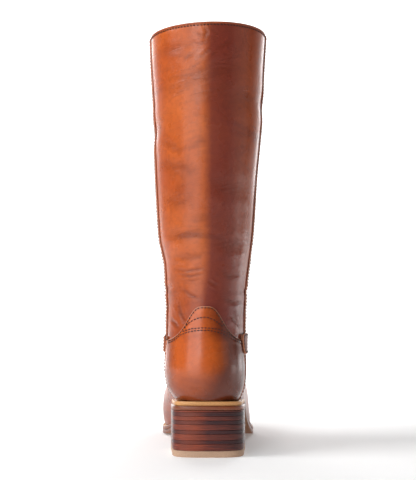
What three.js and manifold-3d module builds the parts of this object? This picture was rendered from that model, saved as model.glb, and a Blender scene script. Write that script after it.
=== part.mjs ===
// A right knee-high boot: a hollow leather upper on a welted leather sole and a stacked leather heel.
//
// Units are millimetres. +Z is up, +Y runs from heel to toe, and +X is the outer (lateral) side of a
// right foot. The origin is on the floor, under the middle of the heel.
//
// The upper is one surface, wound round the last. A section runs from a point on the back line of the
// boot to a point on its front line, and has a medial and a lateral width at the heel, the waist, the
// ball and the toe. The first section is the feather line, where the upper meets the welt; the last one
// is the collar. Everything that lies on the upper is cut out of an offset of that same surface.
import * as THREE from "three";
import Module from "manifold-3d";

const wasm = await Module();
wasm.setup();

// ---------------------------------------------------------------- driving dimensions

const GAP = 0.3; // air between two pieces that touch on the real boot
const FEATHER_GAP = 1; // and between the welt and the upper, whose edge has fewer points
const COLLAR_HEIGHT = 409;

const TOP_LIFT = 6.2; // the rubber piece under the heel
const LIFTS = [6.4, 3.4, 5.9, 3.7, 5.4, 3.8, 4.2, 3.8]; // leather layers from the floor up, at the back
const LIFT_GAP = 0.2;
const OUTSOLE = 4;
const WELT = 4;
const INSOLE = 3;
const WELT_INSIDE = 5; // how far the welt reaches in under the upper
const FEATHER = OUTSOLE + GAP + WELT + FEATHER_GAP; // the feather line's height over the sole's underside

const FOOT_WALL = 2.6;
const SHAFT_WALL = 2.0;
const COUNTER_THICK = 1.3;
const VAMP_THICK = 1.7;
const STRIP_THICK = 1.2;
const TAB_THICK = 1.2;

const UPPER_POINTS = 52; // round a section, an even number
const SOLE_POINTS = 72; // round the sole, an even number
const TIP_SPACING = 1.3; // how much wider the points stand at the heel and toe than on a circle
const CAP_POWER = 2; // how an end is rounded: 2 is an ellipse, and more is squarer

// Where the four widths of a section are measured, along Y.
const STATIONS = [0, 65, 140, 195]; // heel, waist, ball, toe

// The foot. back and front are [y, z]. follow is how far a section bends with the sole line.
// medial and lateral are the distances from the heel's middle plane at the four stations.
// heelCap and toeCap are the lengths over which the two ends are rounded.
const FOOT_SECTIONS = [
  { name: "feather line", back: [-26.5, 53.4], front: [216.5, 17.1], follow: 1,
    medial: [29.4, 21.5, 44.5, 45.5], lateral: [27.8, 33, 43.5, 31], heelCap: 32, toeCap: 74 },
  { name: "lasted edge", back: [-29.3, 59.5], front: [218.2, 23.5], follow: 0.92,
    medial: [34.2, 28.5, 46.8, 47.5], lateral: [31, 35, 44.2, 32.5], heelCap: 36, toeCap: 74 },
  { name: "girth", back: [-30.8, 69], front: [218, 31.5], follow: 0.75,
    medial: [39, 33, 47.6, 46.5], lateral: [34.2, 36, 43, 31.5], heelCap: 40, toeCap: 74 },
  { name: "toe top", back: [-31, 78], front: [212.5, 40], follow: 0.55,
    medial: [40.4, 36, 46.6, 43.5], lateral: [35.2, 36, 42, 29.5], heelCap: 42, toeCap: 78 },
  { name: "toe back", back: [-30.7, 86], front: [199.5, 46], follow: 0.38,
    medial: [41.3, 37.2, 44.8, 41], lateral: [35.8, 35.3, 41, 28.5], heelCap: 43, toeCap: 86 },
  { name: "vamp low", back: [-29.8, 94], front: [179, 50], follow: 0.24,
    medial: [41.4, 37.4, 43, 40], lateral: [36, 35.4, 39.8, 29.5], heelCap: 44, toeCap: 92 },
  { name: "vamp middle", back: [-28.4, 102], front: [156, 55.5], follow: 0.14,
    medial: [41.6, 37.3, 41, 39], lateral: [36.2, 35.5, 38.8, 31.5], heelCap: 45, toeCap: 94 },
  { name: "vamp high", back: [-26.8, 111], front: [134.5, 66], follow: 0.07,
    medial: [41.7, 37.5, 40, 39], lateral: [35.9, 35.5, 38, 33.5], heelCap: 46, toeCap: 92 },
  { name: "instep low", back: [-25.2, 121], front: [115.5, 82], follow: 0.03,
    medial: [41.6, 38, 40, 40], lateral: [35.9, 35.8, 38, 36], heelCap: 47, toeCap: 84 },
  { name: "instep high", back: [-23.8, 132.5], front: [99.5, 104], follow: 0,
    medial: [41.3, 39.5, 41, 41], lateral: [36.2, 36.4, 38, 38], heelCap: 48, toeCap: 72 },
  { name: "throat", back: [-22.6, 145.5], front: [87.5, 130], follow: 0,
    medial: [41.2, 41, 42, 42], lateral: [37.2, 37.2, 38, 38], heelCap: 50, toeCap: 60 },
];

// The shaft. Its sections are level ellipses, apart from the lowest, whose front is a little lower.
const SHAFT_SECTIONS = [
  { name: "ankle", z: 160, frontDrop: 2.5, back: -22.2, front: 80.5, medial: 42.2, lateral: 38.6 },
  { name: "over the ankle", z: 181, frontDrop: 0, back: -22.8, front: 78.5, medial: 42.6, lateral: 40.6 },
  { name: "under the calf", z: 212, frontDrop: 0, back: -25.5, front: 79.5, medial: 48, lateral: 43.6 },
  { name: "calf", z: 267, frontDrop: 0, back: -30.5, front: 84, medial: 50.8, lateral: 47.4 },
  { name: "over the calf", z: 325, frontDrop: 0, back: -34.5, front: 87.5, medial: 53.1, lateral: 52.5 },
  { name: "under the collar", z: 384, frontDrop: 0, back: -37, front: 89.5, medial: 55.6, lateral: 55.4 },
  { name: "collar", z: COLLAR_HEIGHT, frontDrop: 0, back: -37.5, front: 90, medial: 56.4, lateral: 56.3 },
];
const COLLAR_TILT = [0.018, 0.034]; // how far the last two sections rise towards the lateral side

// The sole's outline, in the same terms but at stations of its own, and the line of its underside.
const SOLE = {
  back: -31, front: 222, stations: [-31, 0, 31, 65, 140, 195],
  medial: [33.4, 35, 37, 27, 50, 51.5], lateral: [33.4, 35, 37, 39.6, 50, 36.5],
  heelCap: 22, toeCap: 80, heelPower: 3.1,
};
const SOLE_LINE = {
  y: [-31, 20, 34, 56, 82, 106, 124, 142, 165, 192, 222],
  z: [44.6, 41.1, 40.1, 32.6, 18, 6.6, 1.5, 0, 0, 2.2, 9],
};

// The heel block under the seat: its breast at the top, and how far back and breast draw in by the floor.
const HEEL = { breast: 31, halfWidth: 37, breastHollow: 2.5, backDraw: 1, breastDraw: 3 };

// The counter's and the vamp's top edges, seen from behind and from in front: a bell on a level line.
const COUNTER_BELL = { centre: -2.9, side: 105.5, rise: 37, width: 19.3 };
const VAMP_BELL = { centre: -2, side: 105.5, rise: 50, width: 22 };
const BELL_POWER = 3.5;

// Where the seam between counter and vamp meets the edge, and the strips over the shaft's side seams, along Y.
const SIDES = {
  medial: { sign: -1, seamLow: 6, seamHigh: 3, stripLow: 18.5, stripHigh: 27 },
  lateral: { sign: 1, seamLow: 3, seamHigh: 0, stripLow: 19, stripHigh: 31 },
};
const STRIP_WIDTH = 13;
const STRIP_FOOT = 105; // height of the strips' lower ends, before the counter and the vamp cut them
const STRIP_OVER = 5; // how far their outline is drawn over the collar, which cuts them there
// The tabs at the strips' feet: their ends along Y, their edges' heights and the radius of their corners.
const TABS = {
  medial: { back: 9, front: 34, low: 97, high: 113, corner: 4.5 },
  lateral: { back: -1.5, front: 28, low: 95.5, high: 115.5, corner: 5 },
};

// ---------------------------------------------------------------- curves

// A smooth curve through points that never overshoots them.
function curve(xs, ys) {
  const steps = xs.slice(1).map((x, i) => x - xs[i]);
  const slopes = steps.map((step, i) => (ys[i + 1] - ys[i]) / step);
  const tangents = xs.map((_, i) => {
    if (i === 0) return slopes[0];
    if (i === xs.length - 1) return slopes[i - 1];
    const [before, after] = [slopes[i - 1], slopes[i]];
    return before * after <= 0 ? 0 : (2 * before * after) / (before + after);
  });
  return (x) => {
    const at = Math.min(Math.max(x, xs[0]), xs[xs.length - 1]);
    let i = 0;
    while (i < steps.length - 1 && at > xs[i + 1]) i++;
    const t = (at - xs[i]) / steps[i];
    const rise = slopes[i] * steps[i];
    const [start, end] = [tangents[i] * steps[i], tangents[i + 1] * steps[i]];
    return ys[i] + t * (start + t * (3 * rise - 2 * start - end + t * (start + end - 2 * rise)));
  };
}

const soleLine = curve(SOLE_LINE.y, SOLE_LINE.z);
const featherLine = (y) => soleLine(y) + FEATHER;

// How far a rounded end has opened at a distance from its tip: 0 at the tip, 1 from its length on.
function opened(distance, length, power) {
  const left = 1 - Math.min(Math.max(distance / length, 0), 1);
  return (1 - left ** power) ** (1 / power);
}

// ---------------------------------------------------------------- the last

// Every section with the same columns, from the feather line to the collar.
const sections = [
  ...FOOT_SECTIONS,
  ...SHAFT_SECTIONS.map((s) => ({
    back: [s.back, s.z],
    front: [s.front, s.z - s.frontDrop],
    follow: 0,
    medial: STATIONS.map(() => s.medial),
    lateral: STATIONS.map(() => s.lateral),
    heelCap: (s.front - s.back) / 2,
    toeCap: (s.front - s.back) / 2,
  })),
];

// Each column as a smooth function of the section's place in the list.
const places = sections.map((_, i) => i);
const column = (read) => curve(places, sections.map(read));
const columns = {
  backY: column((s) => s.back[0]),
  backZ: column((s) => s.back[1]),
  frontY: column((s) => s.front[0]),
  frontZ: column((s) => s.front[1]),
  follow: column((s) => s.follow),
  heelCap: column((s) => s.heelCap),
  toeCap: column((s) => s.toeCap),
  medial: STATIONS.map((_, k) => column((s) => s.medial[k])),
  lateral: STATIONS.map((_, k) => column((s) => s.lateral[k])),
  tilt: curve(places, places.map((place) => COLLAR_TILT[place - places.length + COLLAR_TILT.length] ?? 0)),
};

// A point of an outline: turn goes once round it, from the heel's back by the lateral side.
function outlinePoint(shape, turn) {
  const spread = turn + ((TIP_SPACING - 1) / 2) * Math.sin(2 * turn);
  const share = (1 - Math.cos(spread)) / 2;
  const length = shape.front - shape.back;
  const y = shape.back + length * share;
  const open =
    opened(share * length, shape.heelCap, shape.heelPower ?? CAP_POWER) *
    opened((1 - share) * length, shape.toeCap, CAP_POWER);
  const medial = curve(shape.stations, shape.medial)(y);
  const lateral = curve(shape.stations, shape.lateral)(y);
  const side = Math.sin(turn) < 0 ? -1 : 1;
  return { x: (lateral - medial) / 2 + (side * open * (lateral + medial)) / 2, y, share };
}

// The upper's outline at a place, which counts sections up from the feather line.
function upperShape(place) {
  return {
    stations: STATIONS,
    back: columns.backY(place),
    front: columns.frontY(place),
    medial: columns.medial.map((c) => c(place)),
    lateral: columns.lateral.map((c) => c(place)),
    heelCap: columns.heelCap(place),
    toeCap: columns.toeCap(place),
  };
}

// A point of the upper's outer face.
function upperPoint(place, turn) {
  const shape = upperShape(place);
  const { x, y, share } = outlinePoint(shape, turn);
  const [backZ, frontZ] = [columns.backZ(place), columns.frontZ(place)];
  const { back, front } = FOOT_SECTIONS[0];
  const chord = back[1] + ((front[1] - back[1]) * (y - back[0])) / (front[0] - back[0]);
  const bend = columns.follow(place) * (featherLine(y) - chord);
  return new THREE.Vector3(x, y, backZ + (frontZ - backZ) * share + bend + columns.tilt(place) * x);
}

const turnsOf = (count) => Array.from({ length: count }, (_, i) => (2 * Math.PI * i) / count);

const outerRows = places.map((place) => turnsOf(UPPER_POINTS).map((turn) => upperPoint(place, turn)));
const lastRow = places.length - 1;

// The outward direction at each point. Along the feather line and the collar it is kept level.
const normalRows = outerRows.map((row, r) =>
  row.map((_, i) => {
    const up = outerRows[Math.min(r + 1, lastRow)][i].clone().sub(outerRows[Math.max(r - 1, 0)][i]);
    const along = row[(i + 1) % UPPER_POINTS].clone().sub(row[(i + UPPER_POINTS - 1) % UPPER_POINTS]);
    const normal = along.cross(up);
    if (r === 0 || r === lastRow) normal.z = 0;
    return normal.normalize();
  }),
);

// The surface's rows moved out by a distance, which is a function of the row.
function offsetRows(distance, from, to) {
  const rows = [];
  for (let r = from; r <= to; r++) {
    rows.push(outerRows[r].map((p, i) => p.clone().addScaledVector(normalRows[r][i], distance(r))));
  }
  return rows;
}

// ---------------------------------------------------------------- solids

// A closed surface from a grid of points that wraps round both ways. From the loop called back on, its
// four-sided faces are cut along the other diagonal, so that two walls side by side are cut alike.
function solidFromLoops(loops, back) {
  const count = loops[0].length;
  const vertices = loops.flat().flatMap((p) => [p.x, p.y, p.z]);
  const triangles = [];
  loops.forEach((_, l) => {
    const next = (l + 1) % loops.length;
    for (let i = 0; i < count; i++) {
      const j = (i + 1) % count;
      const [a, b, c, d] = [l * count + i, l * count + j, next * count + j, next * count + i];
      if (l < back) triangles.push(a, b, c, a, c, d);
      else triangles.push(a, b, d, b, c, d);
    }
  });
  return solid(vertices, triangles);
}

function solid(vertices, triangles) {
  const made = new wasm.Manifold(
    new wasm.Mesh({
      numProp: 3,
      vertProperties: new Float32Array(vertices),
      triVerts: new Uint32Array(triangles),
    }),
  );
  if (made.volume() <= 0) throw new Error("a solid is inside out");
  return made;
}

// The wall between two offsets of the upper's surface, open at both ends.
function shell(inner, outer, from, to) {
  const outside = offsetRows(outer, from, to);
  return solidFromLoops([...outside, ...offsetRows(inner, from, to).reverse()], outside.length);
}

// A plate between a lower and an upper surface over an outline, as strips from side to side.
function plate(outline, lower, upper) {
  const half = outline.length / 2;
  const points = outline.flatMap((p) => [p.x, p.y, lower(p.y)]);
  points.push(...outline.flatMap((p) => [p.x, p.y, upper(p.y)]));
  const top = outline.length;
  const triangles = [];
  const quad = (a, b, c, d) => triangles.push(a, b, c, a, c, d);
  for (let i = 0; i < half; i++) {
    const [a, b] = [i, i + 1]; // on the lateral side
    const [c, d] = [(top - i - 1) % top, (top - i) % top]; // across from b and a
    if (i === 0) triangles.push(a, c, b, top + a, top + b, top + c);
    else if (i === half - 1) triangles.push(a, d, b, top + a, top + b, top + d);
    else {
      quad(a, d, c, b);
      quad(top + a, top + b, top + c, top + d);
    }
  }
  for (let i = 0; i < top; i++) {
    const j = (i + 1) % top;
    quad(i, j, top + j, top + i);
  }
  return solid(points, triangles);
}

// A flat outline drawn from behind (x, z) or from the side (y, z), as a block through the boot.
function block(outline, axis, from, to) {
  const ring = THREE.ShapeUtils.isClockWise(outline) ? [...outline].reverse() : outline;
  const faces = THREE.ShapeUtils.triangulateShape(ring, []);
  const place = {
    x: (p, depth) => [depth, p.x, p.y],
    y: (p, depth) => [p.x, depth, p.y],
    z: (p, depth) => [p.x, p.y, depth],
  }[axis];
  const count = ring.length;
  const flip = axis === "y";
  const vertices = [from, to].flatMap((depth) => ring.flatMap((p) => place(p, depth)));
  const triangles = faces.flatMap(([a, b, c]) => [a, c, b, count + a, count + b, count + c]);
  for (let i = 0; i < count; i++) {
    const j = (i + 1) % count;
    triangles.push(i, j, count + j, i, count + j, count + i);
  }
  return solid(vertices, flip ? triangles.reverse() : triangles);
}

const point = (x, y) => new THREE.Vector2(x, y);

// ---------------------------------------------------------------- upper and its overlays

const ankle = FOOT_SECTIONS.length; // the row of the lowest section of the shaft
const wallAt = curve([0, ankle - 1, ankle + 1], [FOOT_WALL, FOOT_WALL, SHAFT_WALL]);
const overlayTop = ankle + 2; // the overlays of the foot end below this row
const stripStart = ankle - 5; // and the side strips above this one
const FAR = 300; // beyond the boot on every side
const LEFT_AND_RIGHT = 70;

function upper() {
  return shell((row) => -wallAt(row), () => 0, 0, lastRow);
}

// A skin of leather of one thickness, standing off the upper.
function skin(off, thick, from, to) {
  return shell(() => off, () => off + thick, from, to);
}

// The outline under a bell-shaped top edge, closed far below.
function underBell({ centre, side, rise, width }) {
  const steps = 40;
  const line = [];
  for (let i = 0; i <= steps; i++) {
    const x = -LEFT_AND_RIGHT + (2 * LEFT_AND_RIGHT * i) / steps;
    line.push(point(x, side + rise / (1 + Math.abs((x - centre) / width) ** BELL_POWER)));
  }
  return [...line, point(LEFT_AND_RIGHT, -FAR), point(-LEFT_AND_RIGHT, -FAR)];
}

// The space on one side of the boot behind the side seam, moved forward by a distance.
function behindSeam({ sign, seamLow, seamHigh }, forward) {
  const low = { y: seamLow + forward, z: FEATHER };
  const high = { y: seamHigh + forward, z: COUNTER_BELL.side };
  const lean = (high.y - low.y) / (high.z - low.z);
  const at = (z) => low.y + lean * (z - low.z);
  const outline = [point(-FAR, -FAR), point(at(-FAR), -FAR), point(at(FAR), FAR), point(-FAR, FAR)];
  return sign > 0 ? block(outline, "x", 0, FAR) : block(outline, "x", -FAR, 0);
}

// Two halves of the space, cut by the seams.
function behindSeams(forward) {
  return behindSeam(SIDES.medial, forward).add(behindSeam(SIDES.lateral, forward));
}

function counter() {
  const form = skin(GAP, COUNTER_THICK, 0, overlayTop);
  return form.intersect(behindSeams(-GAP / 2)).intersect(block(underBell(COUNTER_BELL), "y", -FAR, FAR));
}

function vamp() {
  const form = skin(GAP, VAMP_THICK, 0, overlayTop);
  return form.subtract(behindSeams(GAP / 2)).intersect(block(underBell(VAMP_BELL), "y", -FAR, FAR));
}

// A strip of leather over the shaft's side seam, from the collar down to the ankle.
function sideStrip({ sign, stripLow, stripHigh }) {
  const form = skin(GAP, STRIP_THICK, stripStart, lastRow);
  const half = STRIP_WIDTH / 2;
  const outline = [
    point(stripLow - half, STRIP_FOOT),
    point(stripLow + half, STRIP_FOOT),
    point(stripHigh + half, COLLAR_HEIGHT + STRIP_OVER),
    point(stripHigh - half, COLLAR_HEIGHT + STRIP_OVER),
  ];
  const strip = form.intersect(sign > 0 ? block(outline, "x", 0, FAR) : block(outline, "x", -FAR, 0));
  return strip
    .subtract(block(underBell({ ...COUNTER_BELL, side: COUNTER_BELL.side + GAP }), "y", -FAR, FAR))
    .subtract(block(underBell({ ...VAMP_BELL, side: VAMP_BELL.side + GAP }), "y", -FAR, FAR));
}

// A rounded tab that covers the strip's foot and the top of the side seam.
function sideTab({ sign }, { back, front, low, high, corner }) {
  const form = skin(GAP + VAMP_THICK + GAP, TAB_THICK, 0, overlayTop);
  const shape = new THREE.Shape();
  shape.moveTo(back + corner, low);
  shape.lineTo(front - corner, low).absarc(front - corner, low + corner, corner, -Math.PI / 2, 0);
  shape.lineTo(front, high - corner).absarc(front - corner, high - corner, corner, 0, Math.PI / 2);
  shape.lineTo(back + corner, high).absarc(back + corner, high - corner, corner, Math.PI / 2, Math.PI);
  shape.lineTo(back, low + corner).absarc(back + corner, low + corner, corner, Math.PI, 1.5 * Math.PI);
  const outline = distinct(shape.getPoints(4));
  return form.intersect(sign > 0 ? block(outline, "x", 0, FAR) : block(outline, "x", -FAR, 0));
}

// An outline without its repeated points.
function distinct(points) {
  return points.filter((p, i) => p.distanceTo(points[(i + 1) % points.length]) > 1e-3);
}

// ---------------------------------------------------------------- sole and heel

const soleTurns = turnsOf(SOLE_POINTS);
const soleOutline = soleTurns.map((turn) => outlinePoint(SOLE, turn));

// The feather line drawn in by a distance, with as many points as the sole's outline.
function featherInset(distance) {
  const line = soleTurns.map((turn) => upperPoint(0, turn));
  return line.map((p, i) => {
    const next = line[(i + 1) % SOLE_POINTS];
    const before = line[(i + SOLE_POINTS - 1) % SOLE_POINTS];
    const along = point(next.x - before.x, next.y - before.y).normalize();
    return point(p.x - along.y * distance, p.y + along.x * distance);
  });
}

function outsole() {
  return plate(soleOutline, soleLine, (y) => soleLine(y) + OUTSOLE);
}

// A ring of leather all round, from the sole's edge to a little inside the upper.
function welt() {
  const low = (p) => new THREE.Vector3(p.x, p.y, soleLine(p.y) + OUTSOLE + GAP);
  const high = (p) => new THREE.Vector3(p.x, p.y, soleLine(p.y) + OUTSOLE + GAP + WELT);
  const inside = featherInset(WELT_INSIDE);
  const loops = [soleOutline.map(low), soleOutline.map(high), inside.map(high), inside.map(low)];
  return solidFromLoops(loops, loops.length);
}

// The insole fills the upper's foot, and its filler fills the hole in the welt.
function insole() {
  const board = plate(featherInset(FOOT_WALL + FEATHER_GAP), featherLine, (y) => featherLine(y) + INSOLE);
  const filler = plate(
    featherInset(WELT_INSIDE + GAP),
    (y) => soleLine(y) + OUTSOLE + GAP,
    (y) => featherLine(y) + INSOLE / 2,
  );
  return board.add(filler);
}

// The heel's outline at a share of its height, from the floor at 0 to the seat at 1. Behind the breast it
// is the sole's own outline, drawn together a little.
function heelOutline(share) {
  const back = SOLE.back + HEEL.backDraw * (1 - share);
  const breast = HEEL.breast - HEEL.breastDraw * (1 - share);
  const scale = (breast - back) / (HEEL.breast - SOLE.back);
  const around = soleOutline
    .filter((p) => p.y < HEEL.breast - HEEL.breastHollow)
    .map((p) => point(p.x, back + (p.y - SOLE.back) * scale));
  const lateral = around.filter((p) => p.x > 0);
  const medial = around.filter((p) => p.x <= 0);
  const tip = medial.shift();
  const hollowSteps = 8;
  const front = [];
  for (let i = 0; i <= hollowSteps; i++) {
    const across = 1 - (2 * i) / hollowSteps;
    front.push(point(HEEL.halfWidth * across, breast - HEEL.breastHollow * (1 - across ** 2)));
  }
  return [tip, ...lateral, ...front, ...medial];
}

// A piece of the heel between two heights, each a function of y.
function heelSlab(lowShare, highShare, low, high) {
  const rings = [
    [heelOutline(lowShare), low],
    [heelOutline(highShare), high],
  ].map(([outline, height]) => outline.map((p) => new THREE.Vector3(p.x, p.y, height(p.y))));
  const count = rings[0].length;
  const flat = rings[0].map((p) => point(p.x, p.y));
  const faces = THREE.ShapeUtils.triangulateShape(flat, []);
  const vertices = rings.flat().flatMap((p) => [p.x, p.y, p.z]);
  const triangles = faces.flatMap(([a, b, c]) => [a, c, b, count + a, count + b, count + c]);
  for (let i = 0; i < count; i++) {
    const j = (i + 1) % count;
    triangles.push(i, j, count + j, i, count + j, count + i);
  }
  return solid(vertices, triangles);
}

// The underside of the heel seat, which falls towards the front.
const seatSlope = (SOLE_LINE.z[1] - SOLE_LINE.z[0]) / (SOLE_LINE.y[1] - SOLE_LINE.y[0]);
const seatHeight = SOLE_LINE.z[0] - GAP;

// The joint at a height at the back of the heel: level by the floor, and as steep as the seat at the top.
function heelJoint(height) {
  const firstJoint = TOP_LIFT + LIFT_GAP;
  const lean = seatSlope * ((height - firstJoint) / (seatHeight - firstJoint)) ** 1.5;
  return (y) => height + lean * (y - SOLE.back);
}

function heelLayer(bottom, top) {
  return heelSlab(bottom / seatHeight, top / seatHeight, heelJoint(bottom), heelJoint(top));
}

function topLift() {
  return heelSlab(0, TOP_LIFT / seatHeight, () => 0, () => TOP_LIFT);
}

// ---------------------------------------------------------------- the assembly

const LOOKS = {
  cognac: { color: 0xa85a30, roughness: 0.35 },
  natural: { color: 0xc98f55, roughness: 0.5 },
  bottom: { color: 0x7d4530, roughness: 0.5 },
  lining: { color: 0xb98a62, roughness: 0.7 },
  liftDark: { color: 0x45201c, roughness: 0.35 },
  liftRed: { color: 0x7e3a26, roughness: 0.35 },
  rubber: { color: 0xc3a284, roughness: 0.7 },
};

function mesh(name, made, look) {
  const { vertProperties, triVerts } = made.getMesh();
  const geometry = new THREE.BufferGeometry();
  geometry.setAttribute("position", new THREE.BufferAttribute(vertProperties, 3));
  geometry.setIndex(new THREE.BufferAttribute(triVerts, 1));
  geometry.computeVertexNormals();
  const piece = new THREE.Mesh(geometry, new THREE.MeshStandardMaterial({ ...look, metalness: 0 }));
  piece.name = name;
  return piece;
}

const boot = new THREE.Group();
boot.name = "knee_high_boot";
boot.add(mesh("upper", upper(), LOOKS.cognac));
boot.add(mesh("heel_counter", counter(), LOOKS.cognac));
boot.add(mesh("vamp", vamp(), LOOKS.cognac));
for (const [side, place] of Object.entries(SIDES)) {
  boot.add(mesh(`side_strip_${side}`, sideStrip(place), LOOKS.cognac));
  boot.add(mesh(`side_tab_${side}`, sideTab(place, TABS[side]), LOOKS.cognac));
}
boot.add(mesh("insole", insole(), LOOKS.lining));
boot.add(mesh("welt", welt(), LOOKS.natural));
boot.add(mesh("outsole", outsole(), LOOKS.bottom));
let height = TOP_LIFT + LIFT_GAP;
LIFTS.forEach((thickness, i) => {
  const colour = i % 2 ? LOOKS.liftDark : LOOKS.liftRed;
  boot.add(mesh(`heel_lift_${i + 1}`, heelLayer(height, height + thickness - LIFT_GAP), colour));
  height += thickness;
});
boot.add(mesh("seat_lift", heelLayer(height, seatHeight), LOOKS.liftRed));
boot.add(mesh("top_lift", topLift(), LOOKS.rubber));

export default boot;
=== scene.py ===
# %% [markdown]
# # A knee-high boot, a right one
#
# The boot is cognac leather, with a tall shaft that pulls on, a moulded heel counter and a vamp laid over the
# foot, a natural welt, a leather sole and a stacked block heel. The CAD model is the frame: it fixes where
# every piece sits and how large it is. This notebook makes the looks round it, one piece to a cell.
#
# The boot's sizes are written in millimetres, as a shoemaker would, and turned into metres when a mesh is
# made. Those of the floor, the lamps and the materials are in metres.

import math

import bpy
import mathutils
import numpy as np
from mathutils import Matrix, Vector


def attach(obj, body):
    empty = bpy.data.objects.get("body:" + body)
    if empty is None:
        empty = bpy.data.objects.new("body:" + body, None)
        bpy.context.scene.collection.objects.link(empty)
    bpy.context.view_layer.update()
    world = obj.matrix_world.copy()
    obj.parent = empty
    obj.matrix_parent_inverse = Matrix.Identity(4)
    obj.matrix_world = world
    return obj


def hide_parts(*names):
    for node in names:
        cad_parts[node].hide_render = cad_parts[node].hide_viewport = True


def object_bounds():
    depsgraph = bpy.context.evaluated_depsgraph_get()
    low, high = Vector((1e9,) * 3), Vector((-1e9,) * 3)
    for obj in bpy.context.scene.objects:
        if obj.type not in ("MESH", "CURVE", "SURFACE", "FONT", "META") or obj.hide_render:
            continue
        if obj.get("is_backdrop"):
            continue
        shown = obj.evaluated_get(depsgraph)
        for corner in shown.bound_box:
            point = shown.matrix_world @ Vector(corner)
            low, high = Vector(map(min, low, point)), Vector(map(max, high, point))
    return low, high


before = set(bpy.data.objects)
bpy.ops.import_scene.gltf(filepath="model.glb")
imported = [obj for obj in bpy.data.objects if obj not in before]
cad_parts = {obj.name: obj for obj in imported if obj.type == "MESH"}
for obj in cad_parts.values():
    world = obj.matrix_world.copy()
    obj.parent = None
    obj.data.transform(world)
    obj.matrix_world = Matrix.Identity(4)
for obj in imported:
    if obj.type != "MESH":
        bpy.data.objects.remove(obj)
cad_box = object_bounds()
MM = 0.001


def say_box(name, box):
    low, high = ([round(v, 4) for v in corner] for corner in box)
    print(f"the {name} model reaches from {low} to {high}")


def add_node(tree, kind, feeds=None, **settings):
    """A new node. feeds says what goes into its inputs: a plain value, or what another node gives out."""
    node = tree.nodes.new(kind)
    for key, value in settings.items():
        setattr(node, key, value)
    feed(tree, node, feeds or {})
    return node


def feed(tree, node, feeds):
    for name, value in feeds.items():
        if isinstance(value, bpy.types.NodeSocket):
            tree.links.new(value, node.inputs[name])
        else:
            node.inputs[name].default_value = value


say_box("CAD", cad_box)

# %% [markdown]
# ## The camera
#
# The boot is looked at straight from behind, from about a metre away and from ankle height. A camera can look
# up at the collar in two ways: it can be tilted, or its lens can be shifted. A shift keeps upright edges
# upright, as a studio camera does, so the lens is shifted by a tenth of the frame.

# %% Camera
EYE_BEHIND = 999  # mm behind the origin
EYE_HEIGHT = 158  # mm over the floor
LENS = 77.25
LENS_SHIFT = 0.104

camera_data = bpy.data.cameras.new("camera")
camera_data.lens = LENS
camera_data.shift_y = LENS_SHIFT
camera = bpy.data.objects.new("camera", camera_data)
camera.location = (0, -EYE_BEHIND * MM, EYE_HEIGHT * MM)
camera.rotation_euler = (math.radians(90), 0, 0)
bpy.context.collection.objects.link(camera)
bpy.context.scene.camera = camera

# %% [markdown]
# ## The floor and the studio
#
# The floor is a plain pale sheet that sweeps up behind the boot, so that no horizon shows. It shines of
# itself, most on the wall and least by the boot and at its sides, so that the wall is white.
#
# Glossy leather is drawn by what it reflects. A high soft box on the left, the key, lights the inner side as
# far as the middle of the back. A low wide one lays a broad gloss over it, and a smaller one lights the heel.
# The outer side is left dark: a weak fill and two small low lamps only keep it from going black. Two tall
# lamps behind the boot draw its edges.

# %% Floor
def floor_sheet(half_width, near, far, bend, height):
    """A floor that curves up into a wall, as paper does in a studio."""
    steps = 24
    profile = [(near, 0.0), (far - bend, 0.0)]
    for i in range(1, steps + 1):
        angle = math.pi / 2 * i / steps
        profile.append((far - bend + bend * math.sin(angle), bend - bend * math.cos(angle)))
    profile.append((far, height))
    vertices = [(side * half_width, y, z) for y, z in profile for side in (-1, 1)]
    faces = [(2 * i, 2 * i + 1, 2 * i + 3, 2 * i + 2) for i in range(len(profile) - 1)]
    mesh = bpy.data.meshes.new("floor")
    mesh.from_pydata(vertices, [], faces)
    mesh.shade_smooth()
    sheet = bpy.data.objects.new("floor", mesh)
    bpy.context.collection.objects.link(sheet)
    return sheet


PAPER_GLOW = 1.2  # how brightly the paper of the wall shines, against white
PAPER_DIM = 0.14  # and the paper under the boot
PAPER_SIDES = 0.15  # what is left of either, far to the sides


def studio_paper():
    """Pale paper whose glow grows from the boot to the wall and fades towards its sides."""
    paper = bpy.data.materials.new("studio_paper")
    paper.use_nodes = True
    tree = paper.node_tree
    place = add_node(tree, "ShaderNodeTexCoord").outputs["Object"]
    axes = add_node(tree, "ShaderNodeSeparateXYZ", {"Vector": place}).outputs
    aside = add_node(tree, "ShaderNodeMath", {0: axes["X"]}, operation="ABSOLUTE").outputs["Value"]
    away = {"Value": axes["Y"], "From Min": 0.1, "From Max": 1.3, "To Min": PAPER_DIM, "To Max": PAPER_GLOW}
    sideways = {"Value": aside, "From Min": 2.2, "From Max": 3.2, "To Min": 1, "To Max": PAPER_SIDES}
    fades = [add_node(tree, "ShaderNodeMapRange", feeds).outputs["Result"] for feeds in (away, sideways)]
    glow = add_node(tree, "ShaderNodeMath", dict(enumerate(fades)), operation="MULTIPLY").outputs["Value"]
    feed(tree, tree.nodes["Principled BSDF"], {
        "Base Color": (0.9, 0.9, 0.9, 1),
        "Roughness": 0.9,
        "Emission Color": (1, 1, 1, 1),
        "Emission Strength": glow,
    })
    return paper


floor = floor_sheet(half_width=6, near=-6, far=3.2, bend=1.5, height=6)
floor.data.materials.append(studio_paper())
floor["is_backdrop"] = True

# %% Lights
WORLD_GLOW = 0.03
MIDDLE = 0.22  # the height most lamps are aimed at

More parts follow.
